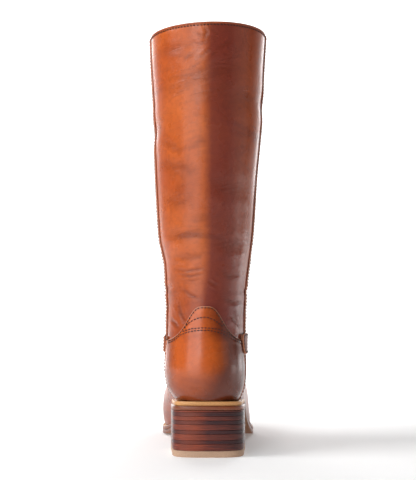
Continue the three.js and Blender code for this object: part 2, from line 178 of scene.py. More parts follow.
# name, azimuth, distance, height, width, height of the box, power, height it is aimed at
LAMPS = [
    ("key", -75, 1.35, 1.35, 0.8, 1.1, 22.5, MIDDLE),
    ("low_front", -36, 1.35, 0.35, 1.1, 0.9, 8, MIDDLE),
    ("low_right", 94, 1.35, 0.08, 0.4, 0.16, 0.7, MIDDLE),
    ("low_rim", 120, 1.35, 0.08, 0.35, 0.18, 1.0, 0.1),
    ("fill_right", 78, 1.6, 0.5, 1.2, 1.2, 2.4, MIDDLE),
    ("heel", -22, 1.35, 0.85, 0.5, 0.35, 4.4, 0.12),
    ("rim_right", 160, 1.35, 0.55, 0.35, 1.0, 3.2, MIDDLE),
    ("rim_left", -160, 1.35, 0.45, 0.35, 0.9, 3, MIDDLE),
]


def soft_box(name, azimuth, distance, height, width, tall, power, aim):
    """A soft box round the boot, which the camera doesn't see. azimuth 0 is the camera's own direction and
    grows to its right. Sizes are in metres and power is in watts."""
    data = bpy.data.lights.new(name, "AREA")
    data.shape = "RECTANGLE"
    data.size, data.size_y = width, tall
    data.energy = power
    lamp = bpy.data.objects.new(name, data)
    turned = math.radians(azimuth)
    lamp.location = (distance * math.sin(turned), -distance * math.cos(turned), height)
    towards = mathutils.Vector((0, 0.03, aim)) - lamp.location
    lamp.rotation_mode = "QUATERNION"
    lamp.rotation_quaternion = towards.to_track_quat("-Z", "Y")
    lamp.visible_camera = False
    bpy.context.collection.objects.link(lamp)


for lamp in LAMPS:
    soft_box(*lamp)

world = bpy.context.scene.world or bpy.data.worlds.new("studio")
bpy.context.scene.world = world
world.use_nodes = True
feed(world.node_tree, world.node_tree.nodes["Background"], {"Color": (1, 1, 1, 1), "Strength": WORLD_GLOW})
bpy.context.scene.view_settings.view_transform = "Standard"

# %% [markdown]
# ## The last
#
# Everything on a boot follows the last, the foot-shaped form that it is made on. The last is written as a
# table of sections, from the feather line where the upper meets the welt, up to the collar. A section runs
# from a point on the back line to a point on the front line and has a medial and a lateral width at the heel,
# the waist, the ball and the toe. A smooth curve joins each column, so any point of the boot can be asked
# for. Numpy works on whole grids of points at once, which keeps this quick.

# %% Smooth curves
def smooth_curve(at, knots, values):
    """A smooth curve through the knots that never overshoots them. values may differ from point to point."""
    at = np.clip(at, knots[0], knots[-1])
    knots = np.asarray(knots, float)
    values = np.asarray(values, float).reshape(len(knots), -1)
    values = np.broadcast_to(values, (len(knots), at.size))
    steps = np.diff(knots)[:, None]
    slopes = np.diff(values, axis=0) / steps
    before, after = slopes[:-1], slopes[1:]
    same_way = before * after > 0
    total = np.where(same_way, before + after, 1)
    inner = np.where(same_way, 2 * before * after / total, 0)
    tangents = np.concatenate([slopes[:1], inner, slopes[-1:]])
    i = np.clip(np.searchsorted(knots, at) - 1, 0, len(knots) - 2)
    column = np.arange(at.size)
    step = steps[i, 0]
    t = (at - knots[i]) / step
    low, rise = values[i, column], slopes[i, column] * step
    start, end = tangents[i, column] * step, tangents[i + 1, column] * step
    return low + t * (start + t * (3 * rise - 2 * start - end + t * (start + end - 2 * rise)))


def ramp(value, start, end):
    """How far a value has come from start to end, from 0 to 1."""
    return np.clip((value - start) / (end - start), 0, 1)


def opened(distance, length, power=2.0):
    """How far a rounded end has opened at a distance from its tip, from 0 to 1."""
    left = 1 - np.clip(distance / length, 0, 1)
    return (1 - left**power) ** (1 / power)


# %% The table of sections
OUTSOLE = 4
WELT = 4
GAP = 0.3
FEATHER_GAP = 1
FEATHER = OUTSOLE + GAP + WELT + FEATHER_GAP
COLLAR_HEIGHT = 409
STATIONS = [0, 65, 140, 195]  # heel, waist, ball, toe

SOLE_LINE_Y = [-31, 20, 34, 56, 82, 106, 124, 142, 165, 192, 222]
SOLE_LINE_Z = [44.6, 41.1, 40.1, 32.6, 18, 6.6, 1.5, 0, 0, 2.2, 9]

# name, back y, back z, front y, front z, follow, medial widths, lateral widths, heel cap, toe cap
FOOT = [
    ("feather line", -26.5, 53.4, 216.5, 17.1, 1, (29.4, 21.5, 44.5, 45.5), (27.8, 33, 43.5, 31), 32, 74),
    ("lasted edge", -29.3, 59.5, 218.2, 23.5, 0.92, (34.2, 28.5, 46.8, 47.5), (31, 35, 44.2, 32.5), 36, 74),
    ("girth", -30.8, 69, 218, 31.5, 0.75, (39, 33, 47.6, 46.5), (34.2, 36, 43, 31.5), 40, 74),
    ("toe top", -31, 78, 212.5, 40, 0.55, (40.4, 36, 46.6, 43.5), (35.2, 36, 42, 29.5), 42, 78),
    ("toe back", -30.7, 86, 199.5, 46, 0.38, (41.3, 37.2, 44.8, 41), (35.8, 35.3, 41, 28.5), 43, 86),
    ("vamp low", -29.8, 94, 179, 50, 0.24, (41.4, 37.4, 43, 40), (36, 35.4, 39.8, 29.5), 44, 92),
    ("vamp middle", -28.4, 102, 156, 55.5, 0.14, (41.6, 37.3, 41, 39), (36.2, 35.5, 38.8, 31.5), 45, 94),
    ("vamp high", -26.8, 111, 134.5, 66, 0.07, (41.7, 37.5, 40, 39), (35.9, 35.5, 38, 33.5), 46, 92),
    ("instep low", -25.2, 121, 115.5, 82, 0.03, (41.6, 38, 40, 40), (35.9, 35.8, 38, 36), 47, 84),
    ("instep high", -23.8, 132.5, 99.5, 104, 0, (41.3, 39.5, 41, 41), (36.2, 36.4, 38, 38), 48, 72),
    ("throat", -22.6, 145.5, 87.5, 130, 0, (41.2, 41, 42, 42), (37.2, 37.2, 38, 38), 50, 60),
]

# name, height, front drop, back y, front y, medial width, lateral width
SHAFT = [
    ("ankle", 160, 2.5, -22.2, 80.5, 42.2, 38.6),
    ("over the ankle", 181, 0, -22.8, 78.5, 42.6, 40.6),
    ("under the calf", 212, 0, -25.5, 79.5, 48, 43.6),
    ("calf", 267, 0, -30.5, 84, 50.8, 47.4),
    ("over the calf", 325, 0, -34.5, 87.5, 53.1, 52.5),
    ("under the collar", 384, 0, -37, 89.5, 55.6, 55.4),
    ("collar", COLLAR_HEIGHT, 0, -37.5, 90, 56.4, 56.3),
]
COLLAR_TILT = [0.018, 0.034]  # how far the last two sections rise towards the lateral side


def section_columns():
    """One row of numbers for each section, with the same columns for foot and shaft: the ends of its line and
    how it follows the sole, four medial and four lateral widths, and the heel and toe caps."""
    rows = [(by, bz, fy, fz, follow, *m, *l, hc, tc) for _, by, bz, fy, fz, follow, m, l, hc, tc in FOOT]
    for _, z, drop, back, front, medial, lateral in SHAFT:
        half = (front - back) / 2
        rows.append((back, z, front, z - drop, 0, *[medial] * 4, *[lateral] * 4, half, half))
    return np.array(rows, float)


SECTIONS = section_columns()
COLLAR_PLACE = len(SECTIONS) - 1
TILTS = np.concatenate([np.zeros(len(SECTIONS) - len(COLLAR_TILT)), COLLAR_TILT])


def sole_line(y):
    """The height of the outsole's underside, so far along the boot."""
    y = np.asarray(y, float)
    return smooth_curve(y.ravel(), SOLE_LINE_Y, SOLE_LINE_Z).reshape(y.shape)


print(len(SECTIONS), "sections, from the feather line to a collar at", COLLAR_HEIGHT, "mm")

# %% The last's surface
def on_last(place, turn):
    """Points of the upper's outer face, in mm. place counts sections from 0 at the feather line, and turn
    is the angle round the section from the back line, with the lateral side positive."""
    place, turn = np.broadcast_arrays(np.asarray(place, float), np.asarray(turn, float))
    shape = place.shape
    p, t = place.ravel(), turn.ravel()
    numbers = np.arange(len(SECTIONS), dtype=float)
    columns = [smooth_curve(p, numbers, SECTIONS[:, k]) for k in range(SECTIONS.shape[1])]
    back_y, back_z, front_y, front_z, follow = columns[:5]
    medials, laterals, heel_cap, toe_cap = columns[5:9], columns[9:13], columns[13], columns[14]
    share = (1 - np.cos(t)) / 2
    length = front_y - back_y
    y = back_y + length * share
    open_share = opened(share * length, heel_cap) * opened((1 - share) * length, toe_cap)
    medial = smooth_curve(y, STATIONS, np.array(medials))
    lateral = smooth_curve(y, STATIONS, np.array(laterals))
    side = np.where(np.sin(t) < 0, -1, 1)
    x = (lateral - medial) / 2 + side * open_share * (lateral + medial) / 2
    _, by, bz, fy, fz = FOOT[0][:5]
    chord = bz + (fz - bz) * (y - by) / (fy - by)
    z = back_z + (front_z - back_z) * share + follow * (sole_line(y) + FEATHER - chord)
    z = z + smooth_curve(p, numbers, TILTS) * x
    return np.stack([x, y, z], -1).reshape(*shape, 3)


def outward(place, turn):
    """The direction straight out of the last at those points."""
    step_p, step_t = 0.02, 0.004
    place = np.asarray(place, float)
    low, high = np.clip(place - step_p, 0, COLLAR_PLACE), np.clip(place + step_p, 0, COLLAR_PLACE)
    up = on_last(high, turn) - on_last(low, turn)
    along = on_last(place, turn + step_t) - on_last(place, turn - step_t)
    out = np.cross(along, up)
    return out / np.linalg.norm(out, axis=-1, keepdims=True)


# %% [markdown]
# ### Finding a spot on the last
#
# A maker marks a pattern with a ruler: so far across, so high up. These helpers turn such a mark into a place
# and a turn on the last, by walking down the error a few times, as Newton did.

# %% Finding a spot
STEP_PLACE, STEP_TURN = 0.01, 0.002  # how far a slope is felt for, either way


def find_spot(across, height, axis, start_turn):
    """place and turn of the points whose coordinate on an axis (0 is x, 1 is y) and height are given."""
    across, height = np.broadcast_arrays(np.asarray(across, float), np.asarray(height, float))
    place = np.interp(height, SECTIONS[:, 1], np.arange(len(SECTIONS)))
    turn = np.full(across.shape, float(start_turn))
    for _ in range(14):
        here = on_last(place, turn)
        by_place = (on_last(np.clip(place + STEP_PLACE, 0, COLLAR_PLACE), turn) - here) / STEP_PLACE
        last_row = place > COLLAR_PLACE - STEP_PLACE
        if last_row.any():
            below = (here - on_last(place - STEP_PLACE, turn)) / STEP_PLACE
            by_place = np.where(last_row[..., None], below, by_place)
        by_turn = (on_last(place, turn + STEP_TURN) - here) / STEP_TURN
        a, b, c, d = by_place[..., axis], by_turn[..., axis], by_place[..., 2], by_turn[..., 2]
        miss_a, miss_z = across - here[..., axis], height - here[..., 2]
        size = a * d - b * c
        size = np.where(np.abs(size) < 1e-6, 1e-6, size)
        place = np.clip(place + np.clip((d * miss_a - b * miss_z) / size, -1, 1), 0, COLLAR_PLACE)
        turn = turn + np.clip((a * miss_z - c * miss_a) / size, -0.5, 0.5)
    return place, turn


def spot_on_side(side, y, height):
    """A spot on the medial (-1) or lateral (1) side, so far from the heel."""
    return find_spot(y, height, 1, side * math.pi / 2)


check_place, check_turn = spot_on_side(-1, [10, 20], [150, 300])
print("a mark on the medial side lands at", on_last(check_place, check_turn).round(1).tolist())

# %% [markdown]
# ## Creases
#
# Leather remembers how it was lasted, packed and walked in. A crease could be a bump in the material, but a
# bump disappears at the outline and is lost when the mesh is exported. So each crease is a soft trough, with
# a low ridge on either side, that moves the leather itself. The maker's marks are across and up, seen from
# the face that they are on.

# %% The table of creases
FACES = {"back": (0, 1, -1), "front": (0, 1, 1), "medial": (1, 0, -1), "lateral": (1, 0, 1)}

# face, points (across, height), half width, depth
CREASES = [
    ("back", [(-50, 388), (-34, 385), (-8, 390)], 3.5, 0.18),
    ("back", [(-5, 406), (-1, 399), (-4, 390)], 1.6, 0.22),
    ("back", [(3, 404), (8, 398), (6, 390)], 1.5, 0.2),
    ("back", [(-14, 400), (-7, 396), (0, 397)], 1.4, 0.2),
    ("back", [(-18, 392), (-9, 388), (2, 391)], 1.4, 0.2),
    ("back", [(-24, 372), (-18, 377), (-12, 381)], 1.6, 0.26),
    ("back", [(-10, 375), (-3, 379), (5, 385)], 1.5, 0.26),
    ("back", [(-5, 366), (5, 370), (14, 374)], 1.7, 0.28),
    ("back", [(2, 376), (6, 379), (10, 381)], 1.4, 0.24),
    ("back", [(-29, 356), (-14, 360), (2, 365)], 1.9, 0.26),
    ("back", [(-20, 364), (-12, 368), (-4, 373)], 1.5, 0.24),
    ("back", [(8, 384), (15, 387), (22, 392)], 1.6, 0.24),
    ("back", [(-36, 342), (-24, 346), (-12, 353)], 2.0, 0.22),
    ("back", [(-28, 352), (0, 360), (33, 371)], 9, 0.7),
    ("back", [(-22, 338), (6, 346), (30, 352)], 8, 0.5),
    ("back", [(8, 330), (34, 341), (50, 340)], 9, 0.5),
    ("back", [(-46, 302), (-36, 297), (-26, 290)], 3, 0.35),
    ("back", [(-48, 281), (-30, 275), (-7, 269)], 5, 0.45),
    ("back", [(-44, 246), (-25, 241), (-10, 243)], 6, 0.4),
    ("back", [(0, 262), (20, 254), (40, 257)], 8, 0.5),
    ("back", [(-40, 214), (-22, 209), (-4, 212)], 5, 0.45),
    ("back", [(6, 206), (22, 200), (37, 204)], 6, 0.45),
    ("back", [(-35, 191), (-18, 188), (-3, 190)], 3, 0.4),
    ("back", [(-32, 178), (-20, 176), (-6, 178), (0, 176)], 1.6, 0.42),
    ("back", [(-29, 173), (-16, 171), (-4, 173)], 1.4, 0.35),
    ("back", [(-26, 167.5), (-15, 166.5), (-8, 168)], 1.3, 0.25),
    ("back", [(0, 167), (5, 163.5), (9, 161)], 1.6, 0.35),
    ("back", [(12, 176), (22, 172), (33, 175)], 3, 0.35),
    ("back", [(-24, 158), (-16, 153), (-7, 148.5)], 1.8, 0.4),
    ("back", [(-29, 145), (-26, 135), (-21, 125)], 2.2, 0.55),
    ("back", [(-37, 130), (-32, 126), (-28, 121)], 1.8, 0.55),
    ("back", [(14, 152), (24, 147), (33, 149)], 3, 0.35),
    ("back", [(22, 134), (28, 127), (34, 122)], 2.2, 0.4),
    ("front", [(-36, 196), (-12, 188), (14, 189), (34, 197)], 4, 0.6),
    ("front", [(-34, 172), (-10, 165), (12, 166), (32, 173)], 3.5, 0.7),
    ("front", [(-30, 183), (-8, 178), (10, 179)], 2.2, 0.4),
    ("front", [(-28, 232), (0, 226), (27, 233)], 6, 0.5),
    ("front", [(-40, 362), (-8, 350), (24, 355)], 9, 0.55),
    ("front", [(-18, 300), (14, 292), (40, 300)], 8, 0.5),
    ("medial", [(60, 176), (38, 163), (14, 158), (-4, 161)], 3.5, 0.5),
    ("medial", [(52, 150), (30, 143), (10, 140)], 3, 0.45),
    ("medial", [(66, 210), (40, 200), (18, 198)], 5, 0.45),
    ("medial", [(-10, 320), (28, 309), (64, 316)], 9, 0.55),
    ("lateral", [(60, 172), (36, 160), (14, 156), (-4, 160)], 3.5, 0.5),
    ("lateral", [(54, 148), (34, 140), (12, 138)], 3, 0.45),
    ("lateral", [(64, 206), (44, 197), (22, 196)], 5, 0.45),
    ("lateral", [(-6, 346), (30, 336), (66, 345)], 9, 0.55),
]
CREASE_DEEP = 1.5  # times the table's depths
RIDGE = 0.35  # how high the ridges beside a trough stand, against its depth
RIDGE_AWAY, RIDGE_WIDE = 1.7, 0.8  # where the ridges stand and how wide they are, in half widths
CREASE_DARK = 2.4  # a trough's mark, painted shade in the leather, is this times its depth over the root of its half width
SLACK = 0.35  # how far the shaft strays from a true form, in mm
SHAFT_MIDDLE = 27  # y of the shaft's middle


def crease_shape(points, outs, creases):
    """How far the creases move each point outwards, in mm, and how deep in a trough it lies, 0 to 1."""
    moved = np.zeros(points.shape[:-1])
    deep = np.zeros(points.shape[:-1])
    for face, marks, half_width, depth in creases:
        axis, facing_axis, sign = FACES[face]
        facing = np.clip(sign * outs[..., facing_axis] * 2 - 0.1, 0, 1)
        here = points[..., [axis, 2]]
        marks = np.array(marks, float)
        lengths = np.linalg.norm(np.diff(marks, axis=0), axis=1)
        total, before = lengths.sum(), 0.0
        nearest = np.full(moved.shape, 1e9)
        along = np.zeros(moved.shape)
        for start, end, length in zip(marks[:-1], marks[1:], lengths):
            t = np.clip(((here - start) @ (end - start)) / length**2, 0, 1)
            away = np.linalg.norm(here - start - t[..., None] * (end - start), axis=-1)
            closer = away < nearest
            nearest = np.where(closer, away, nearest)
            along = np.where(closer, (before + t * length) / total, along)
            before += length
        fade = np.sin(np.pi * np.clip(along, 0.02, 0.98)) ** 0.7 * facing
        trough = np.exp(-((nearest / half_width) ** 2))
        ridge = np.exp(-(((nearest - RIDGE_AWAY * half_width) / (RIDGE_WIDE * half_width)) ** 2))
        moved += CREASE_DEEP * depth * fade * (RIDGE * ridge - trough)
        deep = np.maximum(deep, fade * trough * min(1.0, CREASE_DARK * depth / half_width**0.5))
    return moved, deep


def slackness(points):
    """A slow unevenness of the shaft, in mm, that fades away from its lower part down to the foot."""
    x, y, z = points[..., 0], points[..., 1], points[..., 2]
    angle = np.arctan2(y - SHAFT_MIDDLE, x)
    wave = np.sin(z / 31 + 2 * angle) + 0.7 * np.sin(z / 17 - 3 * angle + 1.3)
    wave += 0.5 * np.sin(5 * angle + z / 60)
    return SLACK * ramp(z, 120, 200) * wave


print(len(CREASES), "creases")

# %% [markdown]
# ## Painted shade
#
# Shade is painted into the leather's colour where the lamps leave it dark: down the back of the shaft, on
# the outer side of its middle line and a little round the ankle, over the counter towards the sole and down
# both of its flanks, and over the foot of the vamp. Each rule says how much shade is painted at a point,
# from 0 to 1, and the leather's material reads it.

# %% Painted shade
def shaft_painted_shade(points):
    """Painted shade: a band that starts beside the middle line of the shaft's back, with the ankle."""
    x, y, z = points[..., 0], points[..., 1], points[..., 2]
    ankle = ramp(z, 185, 145)
    band_start = -4.5 - 5 * ankle
    band = ramp(x, band_start, band_start + 8) * ramp(x, 54, 22)
    return np.where(y < SHAFT_MIDDLE, 1 - (1 - band) * (1 - 0.35 * ankle), 0)


def counter_painted_shade(points):
    """Painted shade over the counter's foot and flanks, the outer one more and further in by the sole."""
    x, z = points[..., 0], points[..., 2]
    foot = 0.8 * ramp(z, 88, 54)
    outer_start = 4 - np.clip(88 - z, 0, 40) / 2 - np.clip(z - 108, 0, 8)
    outer = ramp(x, outer_start, outer_start + 16)
    inner = 0.6 * ramp(x, -28, -36)
    return 1 - (1 - foot) * (1 - outer) * (1 - inner)


def vamp_painted_shade(points):
    """Painted shade on the vamp, towards the sole."""
    return 0.6 * ramp(points[..., 2], 104, 64)


# %% [markdown]
# ## Finishes
#
# Each finish is a small tree of shader nodes: a dye that varies from place to place, on the glossy ones a
# polish that varies too, and on all but the threads a fine grain in the bump. A little class keeps the wiring
# readable. The patterns read Object coordinates, which are metres on the boot itself, so a scale of 1000 gives
# a grain of about a millimetre.

# %% A helper for finishes
def dye(red, green, blue):
    """A colour as a leather merchant would give it, 0 to 255, made linear for the shader."""
    shares = [part / 255 for part in (red, green, blue)]
    return (*[c / 12.92 if c <= 0.04045 else ((c + 0.055) / 1.055) ** 2.4 for c in shares], 1.0)


class Finish:
    """A material with its shader, and short ways to add patterns to it."""

    def __init__(self, name):
        self.material = bpy.data.materials.new(name)
        self.material.use_nodes = True
        self.tree = self.material.node_tree
        self.shader = self.tree.nodes["Principled BSDF"]
        self.place = self.node("ShaderNodeTexCoord").outputs["Object"]

    def node(self, kind, feeds=None, **settings):
        return add_node(self.tree, kind, feeds, **settings)

    def stretched(self, x, y, z):
        return self.node("ShaderNodeMapping", {"Vector": self.place, "Scale": (x, y, z)}).outputs["Vector"]

    def slanted(self, angle, x, y, z):
        """The place turned about the y axis by some degrees, and then stretched."""
        feeds = {"Vector": self.place, "Rotation": (0, math.radians(angle), 0)}
        feeds["Scale"] = (1 / x, 1 / y, 1 / z)
        return self.node("ShaderNodeMapping", feeds, vector_type="TEXTURE").outputs["Vector"]

    def across(self):
        """How far to the right of the middle, in metres."""
        return self.node("ShaderNodeSeparateXYZ", {"Vector": self.place}).outputs["X"]

    def noise(self, scale, detail=3.0, roughness=0.5, distortion=0.0, place=None):
        feeds = {"Vector": place or self.place, "Scale": scale, "Detail": detail}
        feeds.update({"Roughness": roughness, "Distortion": distortion})
        return self.node("ShaderNodeTexNoise", feeds).outputs["Fac"]

    def cells(self, scale):
        return self.node("ShaderNodeTexVoronoi", {"Vector": self.place, "Scale": scale}).outputs["Distance"]

    def marked(self, name):
        """A mark kept on the mesh's points, by name."""
        return self.node("ShaderNodeAttribute", attribute_name=name).outputs["Fac"]

    def spread(self, value, low, high, to_low=0.0, to_high=1.0):
        feeds = {"Value": value, "From Min": low, "From Max": high, "To Min": to_low, "To Max": to_high}
        return self.node("ShaderNodeMapRange", feeds).outputs["Result"]

    def blend(self, amount, first, second):
        feeds = {"Factor": amount, 6: first, 7: second}  # 6 and 7 are the two colours
        return self.node("ShaderNodeMix", feeds, data_type="RGBA").outputs[2]

    def sum(self, first, second):
        return self.node("ShaderNodeMath", {0: first, 1: second}, operation="ADD").outputs["Value"]

    def product(self, first, second):
        return self.node("ShaderNodeMath", {0: first, 1: second}, operation="MULTIPLY").outputs["Value"]

    def bump(self, height, strength, distance):
        """Adds to the bump there is already."""
        feeds = {"Strength": strength, "Distance": distance, "Height": height}
        previous = self.shader.inputs["Normal"].links
        if previous:
            feeds["Normal"] = previous[0].from_socket
        feed(self.tree, self.shader, {"Normal": self.node("ShaderNodeBump", feeds).outputs["Normal"]})

    def set(self, **values):
        feed(self.tree, self.shader, {key.replace("_", " "): value for key, value in values.items()})
        return self.material


# %% [markdown]
# ### Cognac leather
#
# Oiled calf leather is dyed unevenly on purpose: it goes darker where it is thick with oil and paler where
# it is stretched. Four layers of noise do this: slow clouds, a drape that is squeezed upwards, slanting
# streaks and fine flecks. Then the marks kept on the mesh paint shade into it where the lamps leave it dark
# and in its creases, whose streaks are painted darker too, darken it along its seams and bare its pale
# inside at the cuts.

# %% Leather finishes
CUT_REACH = 2.0  # how far in from a cut, in mm, the mark "cut" fades out
RAW = dye(206, 142, 112)
RAW_SHADE = dye(160, 94, 66)
# the colour that shade is painted in
PAINTED_SHADE_DYE = dye(94, 37, 42)

# what each leather is dyed where it is stretched, where it lies as it is, and its dark dye, which also paints
# the shade in its creases
COGNAC_DYES = dye(188, 94, 42), dye(168, 76, 32), dye(104, 44, 24)
COUNTER_DYES = dye(208, 106, 44), dye(190, 88, 34), dye(124, 52, 26)
STRIP_DYES = dye(178, 90, 46), dye(156, 72, 36), dye(98, 42, 24)
TAB_DYES = dye(132, 62, 36), dye(108, 48, 30), dye(72, 30, 20)
BINDING_DYES = dye(172, 88, 46), dye(144, 68, 36), dye(92, 40, 24)


def oiled_leather(name, dyes, polish, grain, raw=0.0, coat=0.08, painted_shade=(0.72, PAINTED_SHADE_DYE)):
    """Glossy oiled leather. raw is the width of the pale strip along its cut edges, in mm. coat is how much
    wax is polished over it, and burn how far its painted shade goes over to which dye."""
    light, middle, dark = dyes
    leather = Finish(name)
    clouds = leather.noise(11, detail=4, roughness=0.55, distortion=0.4)
    drape = leather.noise(9, detail=3, roughness=0.6, distortion=1.2, place=leather.stretched(1, 1, 3.2))
    flecks = leather.noise(240, detail=3, roughness=0.6)
    streaks = leather.noise(55, detail=5, roughness=0.6, distortion=0.7, place=leather.slanted(-14, 1, 1, 6))
    crease = leather.marked("crease")
    folds = leather.sum(leather.product(crease, 1.6), 0.35)
    folded = leather.product(leather.spread(streaks, 0.5, 0.72), folds)
    colour = leather.blend(leather.spread(clouds, 0.38, 0.66), middle, light)
    for amount, shade in (
        (leather.spread(drape, 0.52, 0.72, 0, 0.55), dark),
        (leather.spread(flecks, 0.45, 0.75, 0, 0.28), dark),
        # the streaks, painted darker in the creases as shade
        (leather.product(folded, 0.45), dark),
        # painted shade, where the lamps leave the leather dark
        (leather.spread(leather.marked("painted_shade_mark"), 0, 1, 0, painted_shade[0]), painted_shade[1]),
        # painted shade in the creases
        (leather.spread(crease, 0, 1, 0, 0.75), dark),
        (leather.spread(leather.marked("seam"), 0.2, 1, 0, 0.5), dark),
    ):
        colour = leather.blend(amount, colour, shade)
    pores = leather.cells(grain)
    wrinkles = leather.noise(grain * 0.35, detail=4, roughness=0.65, distortion=0.6)
    shine = leather.spread(leather.noise(35, detail=3), 0.3, 0.7, polish - 0.05, polish + 0.08)
    if raw:
        inside = 1 - raw / CUT_REACH
        bare = leather.spread(leather.marked("cut"), inside - 0.05, inside + 0.05)
        colour = leather.blend(bare, colour, leather.blend(leather.noise(1500, detail=3), RAW_SHADE, RAW))
        shine = leather.sum(shine, leather.spread(bare, 0, 1, 0, 0.3))
    leather.bump(leather.product(streaks, folds), 0.5, 0.0011)
    leather.bump(wrinkles, 0.22, 0.0005)
    leather.bump(pores, 0.12, 0.0002)
    return leather.set(
        Base_Color=colour,
        Roughness=shine,
        Specular_IOR_Level=0.3,
        Coat_Weight=coat,
        Coat_Roughness=0.2,
    )


def plain_leather(name, light, dark, roughness, grain, stretch=(1, 1, 1)):
    """Undyed or evenly dyed leather, with a fibre that may be stretched."""
    leather = Finish(name)
    fibre = leather.noise(grain, detail=5, roughness=0.65, place=leather.stretched(*stretch))
    clouds = leather.noise(22, detail=3)
    colour = leather.blend(leather.spread(fibre, 0.3, 0.7), dark, light)
    colour = leather.blend(leather.spread(clouds, 0.4, 0.7, 0, 0.35), colour, dark)
    leather.bump(fibre, 0.25, 0.0003)
    return leather.set(Base_Color=colour, Roughness=roughness)


cognac = oiled_leather("cognac_leather", COGNAC_DYES, 0.28, 1300)
vamp_cognac = oiled_leather("vamp_leather", COGNAC_DYES, 0.3, 1300, raw=0.7)
# the counter's painted shade goes over to a warm dark brown
counter_cognac = oiled_leather(
    "counter_leather", COUNTER_DYES, 0.23, 1500, raw=0.8, coat=0.4, painted_shade=(0.9, dye(84, 31, 18))
)
strip_leather = oiled_leather("strip_leather", STRIP_DYES, 0.3, 1400, raw=0.6, coat=0.5)
tab_leather = oiled_leather("tab_leather", TAB_DYES, 0.5, 1400, raw=0.5, coat=0.0)
bound_edge = oiled_leather("bound_edge", BINDING_DYES, 0.5, 1500)
lining_leather = plain_leather("lining_leather", dye(204, 162, 118), dye(176, 132, 92), 0.62, 900)
insole_leather = plain_leather("insole_leather", dye(196, 150, 104), dye(166, 120, 80), 0.55, 700)
welt_leather = plain_leather("welt_leather", dye(222, 168, 108), dye(184, 124, 70), 0.42, 1200, (1, 1, 3))
sole_edge = plain_leather("sole_edge", dye(150, 82, 50), dye(96, 48, 30), 0.34, 900, (1, 1, 4))
sole_bottom = plain_leather("sole_bottom", dye(176, 124, 86), dye(140, 94, 64), 0.55, 500)

# %% [markdown]
# ### Stacked leather, rubber and thread
#
# The heel is glued up from layers of sole leather, dyed two browns, and burnished to one glossy face. Its
# fibre lies flat, so the noise is squeezed upwards. Painted shade deepens towards the outer side, and a
# painted highlight runs down a stripe left of the middle of the back.

# %% Heel and thread finishes
# the heel's painted shade, towards its outer side, and its painted highlight
HEEL_PAINTED_SHADE, HEEL_PAINTED_HIGHLIGHT = dye(40, 22, 26), dye(176, 84, 52)
HEEL_SHADE_REACH = (-0.006, 0.026)  # across the heel, where the painted shade starts and where it is full
HEEL_HIGHLIGHT_REACH = (-0.033, -0.02, -0.012, 0.0)  # where the painted highlight starts, where it is full, from and to, and its end


def stacked_leather(name, light, dark):
    layer = Finish(name)
    fibre = layer.noise(60, detail=6, roughness=0.7, place=layer.stretched(1, 1, 26))
    patches = layer.noise(70, detail=3, roughness=0.6, distortion=0.8, place=layer.stretched(1, 1, 3))
    across = layer.across()
    # the stripe of painted highlight
    highlight_stripe = layer.product(layer.spread(across, *HEEL_HIGHLIGHT_REACH[:2]), layer.spread(across, *HEEL_HIGHLIGHT_REACH[2:], 1, 0))
    colour = layer.blend(layer.spread(fibre, 0.4, 0.6), dark, light)
    colour = layer.blend(layer.spread(patches, 0.45, 0.75, 0, 0.5), colour, dark)
    # painted shade towards the outer side, then the painted highlight
    colour = layer.blend(layer.spread(across, *HEEL_SHADE_REACH, 0, 0.6), colour, HEEL_PAINTED_SHADE)
    colour = layer.blend(layer.product(highlight_stripe, 0.28), colour, HEEL_PAINTED_HIGHLIGHT)
    layer.bump(fibre, 0.15, 0.0002)
    shine = layer.spread(patches, 0.3, 0.7, 0.3, 0.42)
    return layer.set(Base_Color=colour, Roughness=shine, Specular_IOR_Level=0.35)


def tan_rubber(name, light, dark):
    rubber = Finish(name)
    speckle = rubber.noise(1400, detail=2)
    clouds = rubber.noise(50, detail=4)
    colour = rubber.blend(rubber.spread(speckle, 0.35, 0.65, 0, 0.5), light, dark)
    colour = rubber.blend(rubber.spread(clouds, 0.5, 0.8, 0, 0.4), colour, dark)
    rubber.bump(speckle, 0.2, 0.0002)
    return rubber.set(Base_Color=colour, Roughness=0.68)


def waxed_thread(name, colour, shade):
    thread = Finish(name)
    twist = thread.noise(2600, detail=2, place=thread.stretched(1, 1, 2))
    return thread.set(Base_Color=thread.blend(thread.spread(twist, 0.35, 0.65), shade, colour), Roughness=0.8)


lift_red = stacked_leather("lift_red", dye(136, 60, 40), dye(84, 36, 30))
lift_brown = stacked_leather("lift_brown", dye(84, 38, 36), dye(48, 24, 28))
top_lift_rubber = tan_rubber("top_lift_rubber", dye(192, 158, 132), dye(162, 128, 102))
dark_thread = waxed_thread("dark_thread", dye(62, 30, 22), dye(38, 18, 14))
pale_thread = waxed_thread("pale_thread", dye(226, 190, 146), dye(190, 148, 104))
print(len(bpy.data.materials), "materials")

# %% [markdown]
# ## Pieces of leather
#
# Every piece of leather on the boot is the same kind of thing: a patch of the last, standing off it a little,
# with a thickness and an edge. The patch is a grid. Its points are crowded near the edges, so that the cut
# edge can be rounded over, and the cut itself has a finish of its own.

# %% Making meshes
def finished(name, points, faces, materials, slots=None, marks=None, smooth=True):
    """A mesh object at the origin. points are in mm, slots number each face's material, and marks are numbers
    kept on the points for the materials to read, by name."""
    mesh = bpy.data.meshes.new(name)
    mesh.from_pydata((np.asarray(points, float) * MM).tolist(), [], faces)
    for material in materials:
        mesh.materials.append(material)
    if slots is not None:
        mesh.polygons.foreach_set("material_index", np.asarray(slots, np.int32))
    for mark, values in (marks or {}).items():
        mesh.attributes.new(mark, "FLOAT", "POINT").data.foreach_set("value", np.asarray(values, np.float32))
    mesh.validate()
    if smooth:
        mesh.shade_smooth()
    bpy.context.collection.objects.link(bpy.data.objects.new(name, mesh))
    print(name, len(mesh.polygons), "faces")


